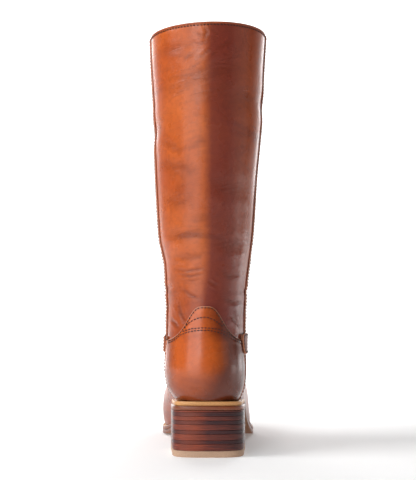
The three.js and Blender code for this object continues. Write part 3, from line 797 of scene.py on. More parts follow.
def crowded(length, count, soft=(0, 0.12, 0.3, 0.55, 0.9)):
    """Places from 0 to 1 along a length in mm, crowded at both ends."""
    ends = np.array(soft) / length
    middle = np.linspace(soft[-1] / length, 1 - soft[-1] / length, count)[1:-1]
    return np.concatenate([ends, middle, 1 - ends[::-1]])


def grid_faces(rows, columns, first=0, closed=False, flip=False):
    """The four-sided faces of a grid of points numbered row by row."""
    faces = []
    for r in range(rows - 1):
        for c in range(columns if closed else columns - 1):
            d = (c + 1) % columns
            quad = (first + r * columns + c, first + r * columns + d)
            quad += (first + (r + 1) * columns + d, first + (r + 1) * columns + c)
            faces.append(quad[::-1] if flip else quad)
    return faces


def ring_faces(rows, columns):
    """The faces of a grid that closes on itself both ways."""
    last = (rows - 1) * columns
    closing = [(last + c, last + (c + 1) % columns, (c + 1) % columns, c) for c in range(columns)]
    return grid_faces(rows, columns, closed=True) + closing


def rim_faces(rim, offset):
    """Faces that join a closed line of points to the same line on the other side of a piece."""
    return [(b, a, a + offset, b + offset) for a, b in zip(rim, rim[1:] + rim[:1])]


def rim_of(rows, columns):
    """The numbers of the points round a grid's edge, in order."""
    rim = list(range(columns))
    rim += [r * columns + columns - 1 for r in range(1, rows)]
    rim += [(rows - 1) * columns + c for c in range(columns - 2, -1, -1)]
    return rim + [r * columns for r in range(rows - 2, 0, -1)]


def distance_to(points, lines, step=0.15):
    """How far each point is from the nearest of some lines, in mm."""
    beads = []
    for line in lines:
        line = np.asarray(line, float)
        walked = np.concatenate([[0], np.cumsum(np.linalg.norm(np.diff(line, axis=0), axis=1))])
        at = np.arange(0, walked[-1], step)
        beads.append(np.stack([np.interp(at, walked, line[:, axis]) for axis in range(3)], -1))
    beads = np.concatenate(beads)
    tree = mathutils.kdtree.KDTree(len(beads))
    for number, bead in enumerate(beads):
        tree.insert(bead, number)
    tree.balance()
    found = [tree.find(point)[2] for point in points.reshape(-1, 3)]
    return np.array(found).reshape(points.shape[:-1])


EDGE_ROUND = 0.55  # how far in from a cut the surface is rounded, in mm
SEAM_HALF, SEAM_DEEP = 0.75, 0.13  # a seam pulls the leather in a little along its stitches


def seam_pull(points, lines):
    """How strongly the leather is drawn in at its seams, 0 to 1."""
    if not lines:
        return np.zeros(points.shape[:-1])
    return np.exp(-((distance_to(points, lines) / SEAM_HALF) ** 2))


def leather_piece(
    name, place, turn, under, thick, look,
    creases=CREASES, extra=0.0, bevel=EDGE_ROUND, left=0.5, sewn=(), painted_shade=None, flip=False,
):
    """A patch of the last as a closed piece of leather. place and turn are grids, with the rows running up.

    under is the air below it and thick its thickness. Its edge is worn down over the width bevel to the share
    left. extra moves it further out, sewn are the lines that it is stitched along, and burn is the rule for
    how much shade is painted into it. flip is for a grid whose columns run against the turn.
    """
    base, outs = on_last(place, turn), outward(place, turn)
    rows, columns = place.shape
    rim = rim_of(rows, columns)
    flat = base.reshape(-1, 3)
    to_cut = distance_to(base, [flat[rim + rim[:1]]])
    moved, deep = crease_shape(base, outs, creases)
    stray = slackness(base)
    seam = seam_pull(base, sewn)
    rise = under + thick * (left + (1 - left) * opened(to_cut, bevel))
    rise = rise + moved + stray + extra - SEAM_DEEP * seam
    top = base + outs * rise[..., None]
    low = base + outs * (under + np.minimum(moved, 0) + stray + np.minimum(extra, 0))[..., None]
    count = rows * columns
    faces = grid_faces(rows, columns, flip=flip) + grid_faces(rows, columns, count, flip=not flip)
    faces += rim_faces(rim[::-1] if flip else rim, count)
    points = np.concatenate([top.reshape(-1, 3), low.reshape(-1, 3)])
    hidden = np.zeros(count)
    marks = {
        # how deep in a crease each point lies, which the leather also paints as shade
        "crease": np.concatenate([deep.ravel(), hidden]),
        "cut": np.tile(ramp(to_cut.ravel(), CUT_REACH, 0), 2),
        "seam": np.concatenate([seam.ravel(), hidden]),
        # how much shade is painted in, where the lamps leave the leather dark
        "painted_shade_mark": np.tile(painted_shade(base).ravel() if painted_shade else hidden, 2),
    }
    finished(name, points, faces, [look], marks=marks)


# %% [markdown]
# ### Where the pieces are cut
#
# The counter and the vamp have bell-shaped tops, and meet at a seam on each side. A pattern maker would draw
# those lines flat. Here each is a small rule, and halving an interval again and again finds where the rule
# crosses the last.

# %% Cutting lines
COUNTER_BELL = {"centre": -2.9, "side": 105.5, "rise": 37, "width": 19.3}
VAMP_BELL = {"centre": -2, "side": 105.5, "rise": 50, "width": 22}
BELL_POWER = 3.5
SEAMS = {-1: (6, 3), 1: (3, 0)}  # by side, medial and lateral: y at the feather line and at the bell's foot
STRIPS = {-1: (18.5, 27), 1: (19, 31)}  # y at STRIP_LOW and at STRIP_HIGH
STRIP_LOW, STRIP_HIGH = 105, COLLAR_HEIGHT + 5
SEAM_LOW, SEAM_HIGH = FEATHER, COUNTER_BELL["side"]

full_turn = 2 * math.pi


def bell(x, centre, side, rise, width):
    """Height of a bell-shaped top edge."""
    return side + rise / (1 + np.abs((x - centre) / width) ** BELL_POWER)


def halving(miss, low, high, steps=34):
    """Where a rising function of each point crosses zero between low and high."""
    for _ in range(steps):
        middle = (low + high) / 2
        below = miss(middle) < 0
        low, high = np.where(below, middle, low), np.where(below, high, middle)
    return (low + high) / 2


def line_on_side(side, line, z_low, z_high):
    """The turn, at every place up the last, of a straight line drawn on one side."""
    places = np.linspace(0, COLLAR_PLACE, 200)

    def miss(turn):
        here = on_last(places, side * turn)
        return here[..., 1] - (line[0] + (line[1] - line[0]) * (here[..., 2] - z_low) / (z_high - z_low))

    turns = side * halving(miss, np.full(200, 0.05), np.full(200, 2.9))
    return lambda place: np.interp(place, places, turns)


def top_edge(bell_sizes, first_turn, last_turn):
    """The place, at every turn, where a bell-shaped top edge crosses the last."""
    turns = np.linspace(first_turn, last_turn, 260)

    def miss(place):
        here = on_last(place, turns)
        return here[..., 2] - bell(here[..., 0], **bell_sizes)

    places = halving(miss, np.full(260, 2.0), np.full(260, 14.0))
    return lambda turn: np.interp(turn, turns, places)


def cut_patch(u, v, left, right, top, bottom=0.0):
    """Grids of place and turn for a patch between two side lines, under a top edge."""
    u, v = np.meshgrid(u, v)
    place = v * 7
    for _ in range(12):
        turn = left(place) + (right(place) - left(place)) * u
        place = bottom + (top(turn) - bottom) * v
    return place, turn


medial_seam = line_on_side(-1, SEAMS[-1], SEAM_LOW, SEAM_HIGH)
lateral_seam = line_on_side(1, SEAMS[1], SEAM_LOW, SEAM_HIGH)
medial_join = line_on_side(-1, STRIPS[-1], STRIP_LOW, STRIP_HIGH)
lateral_join = line_on_side(1, STRIPS[1], STRIP_LOW, STRIP_HIGH)
counter_top = top_edge(COUNTER_BELL, -1.9, 1.9)
vamp_top = top_edge(VAMP_BELL, 0.9, full_turn - 0.9)
print("the counter's bell stands at place", round(float(counter_top(0)), 2))

# %% [markdown]
# ### Where the pieces are sewn
#
# A seam runs beside a cut. Its line is needed twice: the leather is drawn in along it, and the stitches are
# laid on it. To draw one line beside another, every point steps sideways and is then put back on the last.

# %% Lines beside lines
def settled(points, place, turn):
    """The spots on the last nearest to some points, from a first guess."""
    for _ in range(5):
        here = on_last(place, turn)
        by_place = (on_last(place + STEP_PLACE, turn) - on_last(place - STEP_PLACE, turn)) / (2 * STEP_PLACE)
        by_turn = (on_last(place, turn + STEP_TURN) - on_last(place, turn - STEP_TURN)) / (2 * STEP_TURN)
        miss = points - here
        a, b, d = (by_place**2).sum(-1), (by_place * by_turn).sum(-1), (by_turn**2).sum(-1)
        e, f = (by_place * miss).sum(-1), (by_turn * miss).sum(-1)
        size = a * d - b * b
        place, turn = place + (d * e - b * f) / size, turn + (a * f - b * e) / size
    return place, turn


def beside(line, distance):
    """A line on the last at a distance to the left of another, as seen from outside."""
    here, outs = on_last(*line), outward(*line)
    sideways = np.cross(outs, np.gradient(here, axis=0))
    sideways /= np.linalg.norm(sideways, axis=-1, keepdims=True)
    return settled(here + sideways * distance, *line)


def drawn_on_back(marks):
    """A smooth line through marks on the boot's back, each so far across and so high."""
    across, height = np.array(marks, float).T
    x = np.linspace(across[0], across[-1], 120)
    return find_spot(x, smooth_curve(x, across, height), 0, 0)


def points_on(lines):
    """The lines as points in mm."""
    return [on_last(*line) for line in lines]


# %% Seam lines
ROW_IN, ROW_GAP = 1.5, 1.9  # the first row's distance from a cut, and from there to the second row

turns = np.linspace(float(medial_seam(6.3)) + 0.03, float(lateral_seam(6.3)) - 0.03, 420)
counter_edge = (counter_top(turns), turns)
counter_row = beside(counter_edge, -ROW_IN)
inner_row = beside(counter_edge, -ROW_IN - ROW_GAP)
across = on_last(*inner_row)[:, 0]
bell_left, bell_right = across < -27, across > 33
crossing = drawn_on_back([
    (-25.4, 114.9), (-18.3, 117.7), (-10.7, 119.3), (-0.9, 119.6),
    (6.1, 118.4), (14.2, 115.7), (22.5, 111), (31.5, 106),
])
cup_row = tuple(np.concatenate([a[bell_left], b, a[bell_right]]) for a, b in zip(inner_row, crossing))
cup_row_above = drawn_on_back([
    (-22.6, 118.6), (-12.9, 121.3), (-3, 121.9), (6.6, 121), (14.2, 118.5), (22, 113.6), (29, 108.8),
])
middle_arc = drawn_on_back([
    (-21, 122), (-19.3, 124.6), (-15.1, 128.2), (-7.6, 131.4), (-2.5, 132), (4, 130), (12.5, 124),
])
counter_seams = [counter_row, cup_row, cup_row_above, middle_arc]

seam_places = np.linspace(0.5, 6.2, 160)
vamp_lateral = (seam_places, lateral_seam(seam_places))
vamp_medial = (seam_places, medial_seam(seam_places))
turns = np.linspace(float(lateral_seam(6.4)) + 0.05, float(medial_seam(6.4)) + full_turn - 0.05, 500)
vamp_edge = (vamp_top(turns), turns)
vamp_seams = [beside(vamp_edge, -ROW_IN), beside(vamp_edge, -ROW_IN - ROW_GAP)]
for side, cut in ((1, vamp_lateral), (-1, vamp_medial)):
    vamp_seams += [beside(cut, -side * ROW_IN), beside(cut, -side * (ROW_IN + ROW_GAP))]

COLLAR_SEAM = 405.9
places = np.linspace(12, COLLAR_PLACE, 300)
turns = np.linspace(0, full_turn, 400)
collar_seam = [(np.full(400, float(np.interp(COLLAR_SEAM, on_last(places, 0)[:, 2], places))), turns)]
for name, rows in (("counter", counter_seams), ("vamp", vamp_seams), ("collar", collar_seam)):
    lengths = [float(np.linalg.norm(np.diff(line, axis=0), axis=1).sum()) for line in points_on(rows)]
    print(name, "rows of stitches:", [round(length) for length in lengths], "mm long")

# %% [markdown]
# ### Shaft and foot
#
# The shaft is two panels, a back and a front, closed at the sides. Below the counter and the vamp the same
# leather runs on down to the feather line, out of sight, so it has few rows there and many above.

# %% Shaft panels
SHAFT_LEATHER = 1.3
SHAFT_SHOWS = 5.4  # the place from which its rows are close together
COLLAR_EDGE = COLLAR_PLACE - 0.02


def shaft_panel(name, left, right, rows, columns):
    places = [np.linspace(0, SHAFT_SHOWS, 14)[:-1], np.linspace(SHAFT_SHOWS, COLLAR_EDGE, rows)]
    place, u = np.meshgrid(np.concatenate(places), np.linspace(0, 1, columns), indexing="ij")
    turn = left(place) + (right(place) - left(place)) * u
    leather_piece(
        name, place, turn, -SHAFT_LEATHER, SHAFT_LEATHER, cognac,
        left=1, sewn=points_on(collar_seam), painted_shade=shaft_painted_shade,
    )


shaft_panel("shaft_back", medial_join, lateral_join, 300, 150)
shaft_panel("shaft_front", lateral_join, lambda place: medial_join(place) + full_turn, 200, 118)

# %% [markdown]
# ### Lining
#
# Inside, a thinner leather runs from the collar down to the insole. It is one closed sleeve: an outer and an
# inner skin, joined at the top and the bottom.

# %% Lining
LINING_OUTSIDE = 1.4  # how deep under the last's surface the lining's back lies
LINING_INSIDE = {"foot": 2.5, "shaft": 2.0}  # and its face
LINING_SMOOTH = 0.7  # how much of the creases and of the shaft's slack comes through to it


def sleeve(name, places, turns, outside, inside, look):
    """A closed sleeve between two depths under the last's surface. The inner one may change with place."""
    place, turn = np.meshgrid(places, turns, indexing="ij")
    base, outs = on_last(place, turn), outward(place, turn)
    moved = crease_shape(base, outs, CREASES)[0] + slackness(base)
    outer = base + outs * (moved * LINING_SMOOTH - outside)[..., None]
    inner = base + outs * (moved * LINING_SMOOTH - inside(place))[..., None]
    loops = np.concatenate([outer, inner[::-1]])
    finished(name, loops.reshape(-1, 3), ring_faces(len(loops), len(turns)), [look])


sleeve(
    "lining",
    np.concatenate([np.linspace(0, 8, 34)[:-1], np.linspace(8, COLLAR_EDGE, 66)]),
    np.linspace(0, full_turn, 160, endpoint=False),
    LINING_OUTSIDE,
    lambda place: np.interp(place, [10, 12], [LINING_INSIDE["foot"], LINING_INSIDE["shaft"]]),
    lining_leather,
)

# %% [markdown]
# ### Heel counter and vamp
#
# The counter is moulded over a stiff cup, so it is smoother than the shaft and bulges a little. The vamp is
# cut in one piece from seam to seam. Both keep the pale, raw edge of cut leather along the top.

# %% Counter and vamp
COUNTER_THICK, VAMP_THICK = 1.3, 1.7


def counter_bulge(place, turn):
    """The stiff cup under the counter pushes it out most at the middle of the heel's back."""
    return 0.5 * np.exp(-(((place - 3.6) / 2.4) ** 2)) * np.exp(-((turn / 0.9) ** 2))


counter_u, counter_v = crowded(140, 170), crowded(62, 120)
place, turn = cut_patch(counter_u, counter_v, medial_seam, lateral_seam, counter_top, bottom=0.05)
leather_piece(
    "moulded_counter", place, turn, GAP, COUNTER_THICK, counter_cognac, [], counter_bulge(place, turn),
    bevel=1.3, left=0.3, sewn=points_on(counter_seams), painted_shade=counter_painted_shade,
)

vamp_creases = [
    ("front", [(-34, 96), (-10, 88), (12, 88), (32, 95)], 4, 0.5),
    ("front", [(-36, 78), (-12, 71), (10, 71), (34, 77)], 4.5, 0.55),
    ("front", [(-30, 112), (-6, 106), (16, 108)], 3.5, 0.4),
]
vamp_u, vamp_v = crowded(430, 260), crowded(80, 120)
place, turn = cut_patch(
    vamp_u, vamp_v, lateral_seam, lambda p: medial_seam(p) + full_turn, vamp_top, bottom=0.05
)
leather_piece(
    "vamp_panel", place, turn, GAP, VAMP_THICK, vamp_cognac, vamp_creases,
    bevel=0.9, sewn=points_on(vamp_seams), painted_shade=vamp_painted_shade,
)

# %% [markdown]
# ### Side strips and tabs
#
# A long strip is stitched over each side seam of the shaft, and a little tab covers the place where strip,
# vamp and counter meet.

# %% Side strips
STRIP_WIDTH, STRIP_THICK, STRIP_FOOT = 13, 1.2, 112.4


def on_strip(side, across, z):
    """Spots on a strip, so far across it from its middle line and so high."""
    low_y, high_y = STRIPS[side]
    middle = low_y + (high_y - low_y) * (z - STRIP_LOW) / (STRIP_HIGH - STRIP_LOW)
    return spot_on_side(side, middle - side * across, z)


def strip_ends(side):
    """The heights of a strip's foot, which the tab hides, and of its head at the collar."""
    return STRIP_FOOT, float(on_last(COLLAR_PLACE, side * math.pi / 2)[2]) - 0.4


def strip_seams(side):
    foot, head = strip_ends(side)
    z = np.linspace(foot + 2, head - 3, 300)
    return [on_strip(side, end * (STRIP_WIDTH / 2 - ROW_IN), z) for end in (-1, 1)]


def side_strip(name, side):
    across = STRIP_WIDTH * (crowded(STRIP_WIDTH, 20) - 0.5)
    across, height = np.meshgrid(across, np.linspace(*strip_ends(side), 260))
    place, turn = on_strip(side, across, height)
    leather_piece(
        name, place, turn, GAP, STRIP_THICK, strip_leather,
        bevel=0.8, sewn=points_on(strip_seams(side)), flip=True,
    )


side_strip("strip_inner", -1)
side_strip("strip_outer", 1)

# %% Side tabs
TABS = {-1: (9, 34, 97, 113), 1: (-1.5, 28, 95.5, 115.5)}  # by side: back and front, low and high
TAB_THICK = 1.2
TAB_UNDER = GAP + VAMP_THICK + GAP
TAB_SQUARE = 5.5  # 2 would make an ellipse of it, and more is squarer


def on_tab(side, size, angle, inside=0.0):
    """Spots on a tab: size is 1 along its edge and 0 in its middle, and angle goes round it."""
    back, front, low, high = TABS[side]
    corner = (np.abs(np.cos(angle)) ** TAB_SQUARE + np.abs(np.sin(angle)) ** TAB_SQUARE) ** (-1 / TAB_SQUARE)
    y = (back + front) / 2 - side * size * corner * np.cos(angle) * ((front - back) / 2 - inside)
    z = (low + high) / 2 + size * corner * np.sin(angle) * ((high - low) / 2 - inside)
    return spot_on_side(side, y, z)


def tab_seam(side):
    return on_tab(side, 1, np.linspace(0, full_turn, 300), ROW_IN)


def side_tab(name, side, spokes=160):
    """A rounded patch: rings that grow from its middle to its edge."""
    size = np.concatenate([np.linspace(0.02, 0.7, 9), np.linspace(0.74, 0.98, 16), [0.99, 1.0]])
    angle = np.linspace(0, full_turn, spokes, endpoint=False)
    place, turn = on_tab(side, size[:, None], angle[None, :])
    base, outs = on_last(place, turn), outward(place, turn)
    seam = seam_pull(base, points_on([tab_seam(side)]))
    to_cut = distance_to(base, [np.concatenate([base[-1], base[-1][:1]])])
    rise = TAB_UNDER + TAB_THICK * (0.4 + 0.6 * opened(to_cut, 0.8)) - SEAM_DEEP * seam
    top = (base + outs * rise[..., None]).reshape(-1, 3)
    low = (base + outs * TAB_UNDER).reshape(-1, 3)
    rings, count = len(size), len(size) * spokes
    faces = grid_faces(rings, spokes, closed=True) + grid_faces(rings, spokes, count, closed=True, flip=True)
    faces += [tuple(range(spokes - 1, -1, -1)), tuple(range(count, count + spokes))]
    rim = [(rings - 1) * spokes + c for c in range(spokes)]
    faces += rim_faces(rim[::-1], count)
    marks = {
        "cut": np.tile(ramp(to_cut.ravel(), CUT_REACH, 0), 2),
        "seam": np.concatenate([seam.ravel(), np.zeros(count)]),
    }
    finished(name, np.concatenate([top, low]), faces, [tab_leather], marks=marks)


side_tab("tab_inner", -1)
side_tab("tab_outer", 1)

# %% [markdown]
# ### The collar's binding
#
# A thin strip of leather, a little browner than the shaft's, is folded over the collar, so the edge of shaft
# and lining doesn't show.

# %% Collar binding
BINDING_DEEP, BINDING_OVER = 2.0, 0.4  # how far it comes down, and how far it stands over either face
BINDING_THICK = 0.35
BINDING_ROUND = 0.9  # how far its top is rounded down
BINDING_FOLD = 1  # how deep under its top the inside of the fold lies


def collar_binding(name):
    """The fold's section, from the foot of its outer flap over the top and back on the inside, led round."""
    turns = np.linspace(0, full_turn, 320, endpoint=False)
    base, outs = on_last(COLLAR_PLACE, turns), outward(COLLAR_PLACE - 0.05, turns)
    outs[:, 2] = 0
    outs /= np.linalg.norm(outs, axis=1, keepdims=True)
    moved = crease_shape(base, outs, CREASES)[0] + slackness(base)
    wall = LINING_INSIDE["shaft"] + 0.1
    middle, half = -wall / 2, wall / 2 + BINDING_OVER
    angle = np.linspace(0, math.pi, 9)
    outer, inner = middle + half, middle - half
    profile = [(outer, -BINDING_DEEP), (outer, -BINDING_DEEP / 2)]
    profile += [(middle + half * math.cos(a), BINDING_ROUND * (math.sin(a) - 1)) for a in angle]
    profile += [(inner, -BINDING_DEEP / 2), (inner, -BINDING_DEEP)]
    profile += [(inner + BINDING_THICK, -deep) for deep in (BINDING_DEEP, BINDING_FOLD)]
    profile += [(outer - BINDING_THICK, -deep) for deep in (BINDING_FOLD, BINDING_DEEP)]
    loops = []
    for out, up in profile:
        loop = base + outs * (moved + out)[:, None]
        loop[:, 2] += up
        loops.append(loop)
    finished(name, np.concatenate(loops), ring_faces(len(profile), len(turns)), [bound_edge])


collar_binding("collar_binding")

# %% [markdown]
# ## The bottom of the boot
#
# The insole follows the feather line. The welt and the outsole follow the sole's own outline, which stands a
# few millimetres outside it. The welt is a ring and the other two are plates.

# %% The sole's outline
SOLE_BACK, SOLE_FRONT = -31, 222
SOLE_STATIONS = [-31, 0, 31, 65, 140, 195]
SOLE_MEDIAL, SOLE_LATERAL = (33.4, 35, 37, 27, 50, 51.5), (33.4, 35, 37, 39.6, 50, 36.5)
SOLE_HEEL_CAP, SOLE_TOE_CAP, SOLE_HEEL_POWER = 22, 80, 3.1


def sole_outline(turns):
    """Points round the sole's edge, as x and y."""
    share = (1 - np.cos(turns)) / 2
    length = SOLE_FRONT - SOLE_BACK
    y = SOLE_BACK + length * share
    open_share = opened(share * length, SOLE_HEEL_CAP, SOLE_HEEL_POWER)
    open_share = open_share * opened((1 - share) * length, SOLE_TOE_CAP)
    medial = smooth_curve(y, SOLE_STATIONS, SOLE_MEDIAL)
    lateral = smooth_curve(y, SOLE_STATIONS, SOLE_LATERAL)
    side = np.where(np.sin(turns) < 0, -1, 1)
    return np.stack([(lateral - medial) / 2 + side * open_share * (lateral + medial) / 2, y], -1)


def drawn_in(outline, distance):
    """The outline moved inwards by a distance."""
    along = np.roll(outline, -1, axis=0) - np.roll(outline, 1, axis=0)
    along /= np.linalg.norm(along, axis=1, keepdims=True)
    return outline + np.stack([-along[:, 1], along[:, 0]], -1) * distance


EDGE_POINTS = 360
edge_turns = np.linspace(0, full_turn, EDGE_POINTS, endpoint=False)
edge = sole_outline(edge_turns)
feather = on_last(0, edge_turns)[:, :2]
sole_wide, sole_long = np.ptp(edge, axis=0)
print("the sole is", round(float(sole_long)), "mm long and", round(float(sole_wide)), "mm wide")


def raised(outline, height):
    """An outline given heights, which are a function of y."""
    return np.column_stack([outline, height(outline[:, 1])])


def over_sole(up):
    return lambda y: sole_line(y) + up


# %% Welt
WELT_LOW, WELT_TOP = OUTSOLE + GAP, OUTSOLE + GAP + WELT
GROOVE_IN, GROOVE_WIDTH, GROOVE_DEEP = 2.1, 1.3, 0.45
RAND_END = 33  # y just ahead of the heel's breast: behind it the welt's edge is left pale
RAND_TUCK = 1.5  # and stands in from the heel's edge by this much
WELT_IN = 9  # how far in the welt reaches
WELT_DYED = 5  # how many of its strips, counted from below, are dyed like the sole's edge


def welt_ring(name):
    """The welt, with a rounded edge and a groove for the stitches along the top."""
    section = [(WELT_IN, WELT_LOW), (0.35, WELT_LOW), (0.0, WELT_LOW + 0.35)]
    section += [(0.0, WELT_TOP - 0.8), (0.18, WELT_TOP - 0.3), (0.55, WELT_TOP)]
    for part in np.linspace(-1, 1, 7):
        deep = GROOVE_DEEP * math.cos(part * math.pi / 2)
        section.append((GROOVE_IN + part * GROOVE_WIDTH / 2, WELT_TOP - deep))
    section += [(4.5, WELT_TOP), (WELT_IN, WELT_TOP)]
    tuck = RAND_TUCK * smooth_curve(edge[:, 1], [RAND_END - 8, RAND_END + 10], [1, 0])[:, None]
    loops = [raised(drawn_in(edge, inside + tuck), over_sole(up)) for inside, up in section]
    slots = [int(i < WELT_DYED and y > RAND_END) for i, loop in enumerate(loops) for y in loop[:, 1]]
    faces = ring_faces(len(loops), EDGE_POINTS)
    finished(name, np.concatenate(loops), faces, [welt_leather, sole_edge], slots)


welt_ring("stitched_welt")

# %% Plates
def plate(name, outline, section, looks, slot_of_loop):
    """A closed plate: loops that round its edge, capped below and above with strips from side to side.
    section is how far in and how high over the sole's line each loop lies. slot_of_loop gives the material
    of each band between two loops, then of the underside and of the top."""
    loops = [raised(drawn_in(outline, inside), over_sole(up)) for inside, up in section]
    count, around = len(loops), len(outline)
    faces = grid_faces(count, around, closed=True)
    slots = [slot for slot in slot_of_loop[:-2] for _ in range(around)]
    half, top = around // 2, (count - 1) * around
    for i in range(half):
        a, b, c, d = i, i + 1, (around - i - 1) % around, (around - i) % around
        quad = [a, d, c, b] if i else [a, c, b]
        if i == half - 1:
            quad = [a, d, b]
        faces += [tuple(quad), tuple(top + k for k in reversed(quad))]
        slots += slot_of_loop[-2:]
    finished(name, np.concatenate(loops), faces, looks, slots)


plate(
    "leather_outsole",
    edge,
    [(1.2, 0), (0.4, 0.15), (0.05, 0.7), (0, 1.5), (0, OUTSOLE - 0.5), (0.3, OUTSOLE)],
    [sole_edge, sole_bottom],
    [1, 0, 0, 0, 0, 1, 0],
)

INSOLE = 3
INSOLE_TOP = FEATHER + INSOLE
plate(
    "insole_board",
    drawn_in(feather, 2.9),
    [(0, FEATHER), (0, INSOLE_TOP - 0.8), (0.25, INSOLE_TOP - 0.25), (0.8, INSOLE_TOP)],
    [insole_leather],
    [0, 0, 0, 0, 0],
)

# %% [markdown]
# ### The stacked heel
#
# The layers are level by the floor and lean with the seat at the top. Every layer is a slab with the heel's
# outline at its own height, and its edges are broken a little, so that the joints show as fine lines.

# %% Heel layers
TOP_LIFT, LIFT_GAP = 6.2, 0.2
LIFTS = [6.4, 3.4, 5.9, 3.7, 5.4, 3.8, 4.2, 3.8]
BREAST, BREAST_HOLLOW = 31, 2.5  # y of the heel's front at the seat, and how hollow it is
BACK_DRAW, BREAST_DRAW = 1, 3  # how far back and breast are drawn in at the floor
LEAN_POWER = 1.5  # how late the joints begin to lean
SEAT_SLOPE = (SOLE_LINE_Z[1] - SOLE_LINE_Z[0]) / (SOLE_LINE_Y[1] - SOLE_LINE_Y[0])
SEAT_HEIGHT = SOLE_LINE_Z[0] - GAP
HEEL_HALF = SOLE_LATERAL[2]


def heel_outline(height, inside=0.0):
    """The heel's outline at a height, as x and y, from the back round by the lateral side. Behind the breast
    it is the sole's own outline, drawn together a little."""
    share = height / SEAT_HEIGHT
    back = SOLE_BACK + BACK_DRAW * (1 - share)
    breast = BREAST - BREAST_DRAW * (1 - share)
    y = SOLE_BACK + (BREAST - SOLE_BACK) * (0.5 - 0.5 * np.cos(np.linspace(0, math.pi, 90)))[:-1]
    x = smooth_curve(y, SOLE_STATIONS, SOLE_LATERAL) * opened(y - SOLE_BACK, SOLE_HEEL_CAP, SOLE_HEEL_POWER)
    y = back + (y - SOLE_BACK) * (breast - back) / (BREAST - SOLE_BACK)
    lateral = np.column_stack([x, y])
    front_x = np.linspace(HEEL_HALF, -HEEL_HALF, 41)
    front = np.column_stack([front_x, breast - BREAST_HOLLOW * (1 - (front_x / HEEL_HALF) ** 2)])
    medial = np.column_stack([-x[1:], y[1:]])[::-1]
    return drawn_in(np.concatenate([lateral, front, medial]), inside)


def heel_slab(name, low, high, lean_low, lean_high, look, soft=0.16):
    """A slab of the heel between two heights at its back, which lean forwards with a slope."""
    loops = []
    for inside, height, lean, up in (
        (soft, low, lean_low, 0),
        (0, low, lean_low, soft),
        (0, high, lean_high, -soft),
        (soft, high, lean_high, 0),
    ):
        outline = heel_outline(height, inside)
        z = height + lean * (outline[:, 1] - SOLE_BACK) + up
        loops.append(np.column_stack([outline, z]))
    around = len(loops[0])
    faces = grid_faces(len(loops), around, closed=True)
    top = (len(loops) - 1) * around
    faces += [tuple(range(around - 1, -1, -1)), tuple(top + c for c in range(around))]
    finished(name, np.concatenate(loops), faces, [look], smooth=False)


def seat_lean(height):
    """How steeply a joint leans: level by the floor, and as steep as the seat at the top."""
    first_joint = TOP_LIFT + LIFT_GAP
    return SEAT_SLOPE * ((height - first_joint) / (SEAT_HEIGHT - first_joint)) ** LEAN_POWER


heel_slab("rubber_top_lift", 0, TOP_LIFT, 0, 0, top_lift_rubber, soft=0.5)
height = TOP_LIFT + LIFT_GAP
for i, thick in enumerate(LIFTS):
    top = height + thick - LIFT_GAP
    look = lift_brown if i % 2 else lift_red
    heel_slab(f"lift_{i + 1}_leather", height, top, seat_lean(height), seat_lean(top), look)
    height += thick
heel_slab("seat_leather", height, SEAT_HEIGHT, seat_lean(height), SEAT_SLOPE, lift_red)

# %% [markdown]
# ## Stitching
#
# Hundreds of stitches repeat along eighteen lines, which is what Geometry Nodes are for. One tree walks along
# any line, lays a stitch at each step and turns it along the thread and away from the leather. The stitches
# are made real at the end, because an exported model can't hold instances.

# %% A tree that sews
# in metres, and Wander in radians
SEWING_INPUTS = {"Step": 0.0032, "Stitch Length": 0.0023, "Thread Width": 0.0011, "Wander": 0.05}


def sewing_tree():
    """A node tree that lays stitches along the edges of a mesh. Its attribute out says which way is out."""
    tree = bpy.data.node_groups.new("sewing", "GeometryNodeTree")
    ask = tree.interface.new_socket
    ask("Geometry", in_out="INPUT", socket_type="NodeSocketGeometry")
    for name, value in SEWING_INPUTS.items():
        ask(name, in_out="INPUT", socket_type="NodeSocketFloat").default_value = value
    ask("Thread", in_out="INPUT", socket_type="NodeSocketMaterial")
    ask("Geometry", in_out="OUTPUT", socket_type="NodeSocketGeometry")

    def add(kind, feeds=None, **settings):
        return add_node(tree, kind, feeds, **settings).outputs

    given = add("NodeGroupInput")
    line = add("GeometryNodeMeshToCurve", {"Mesh": given["Geometry"]})
    along_line = {"Curve": line["Curve"], "Length": given["Step"]}
    steps = add("GeometryNodeResampleCurve", along_line, mode="LENGTH")
    bead = add("GeometryNodeMeshUVSphere", {"Segments": 8, "Rings": 6, "Radius": 0.5})
    out = add("GeometryNodeInputNamedAttribute", {"Name": "out"}, data_type="FLOAT_VECTOR")
    tangent = add("GeometryNodeInputTangent")
    axes = {"Primary Axis": tangent["Tangent"], "Secondary Axis": out["Attribute"]}
    turned = add("FunctionNodeAxesToRotation", axes, primary_axis="X", secondary_axis="Z")
    width = given["Thread Width"]
    size = add("ShaderNodeCombineXYZ", {"X": given["Stitch Length"], "Y": width, "Z": width})
    laid = add("GeometryNodeInstanceOnPoints", {
        "Points": steps["Curve"],
        "Instance": bead["Mesh"],
        "Rotation": turned["Rotation"],
        "Scale": size["Vector"],
    })
    less = add("ShaderNodeMath", {0: given["Wander"], 1: -1}, operation="MULTIPLY")
    between = {2: less["Value"], 3: given["Wander"], "Seed": 7}  # 2 and 3 are the ends of a range of floats
    wander = add("FunctionNodeRandomValue", between, data_type="FLOAT")
    swing = add("ShaderNodeCombineXYZ", {"Z": wander[1]})
    swung = add("GeometryNodeRotateInstances", {"Instances": laid["Instances"], "Rotation": swing["Vector"]})
    real = add("GeometryNodeRealizeInstances", {"Geometry": swung["Instances"]})
    painted = add("GeometryNodeSetMaterial", {"Geometry": real["Geometry"], "Material": given["Thread"]})
    add("NodeGroupOutput", {"Geometry": painted["Geometry"]})
    return tree


sewing = sewing_tree()
print("the sewing tree has", len(sewing.nodes), "nodes")

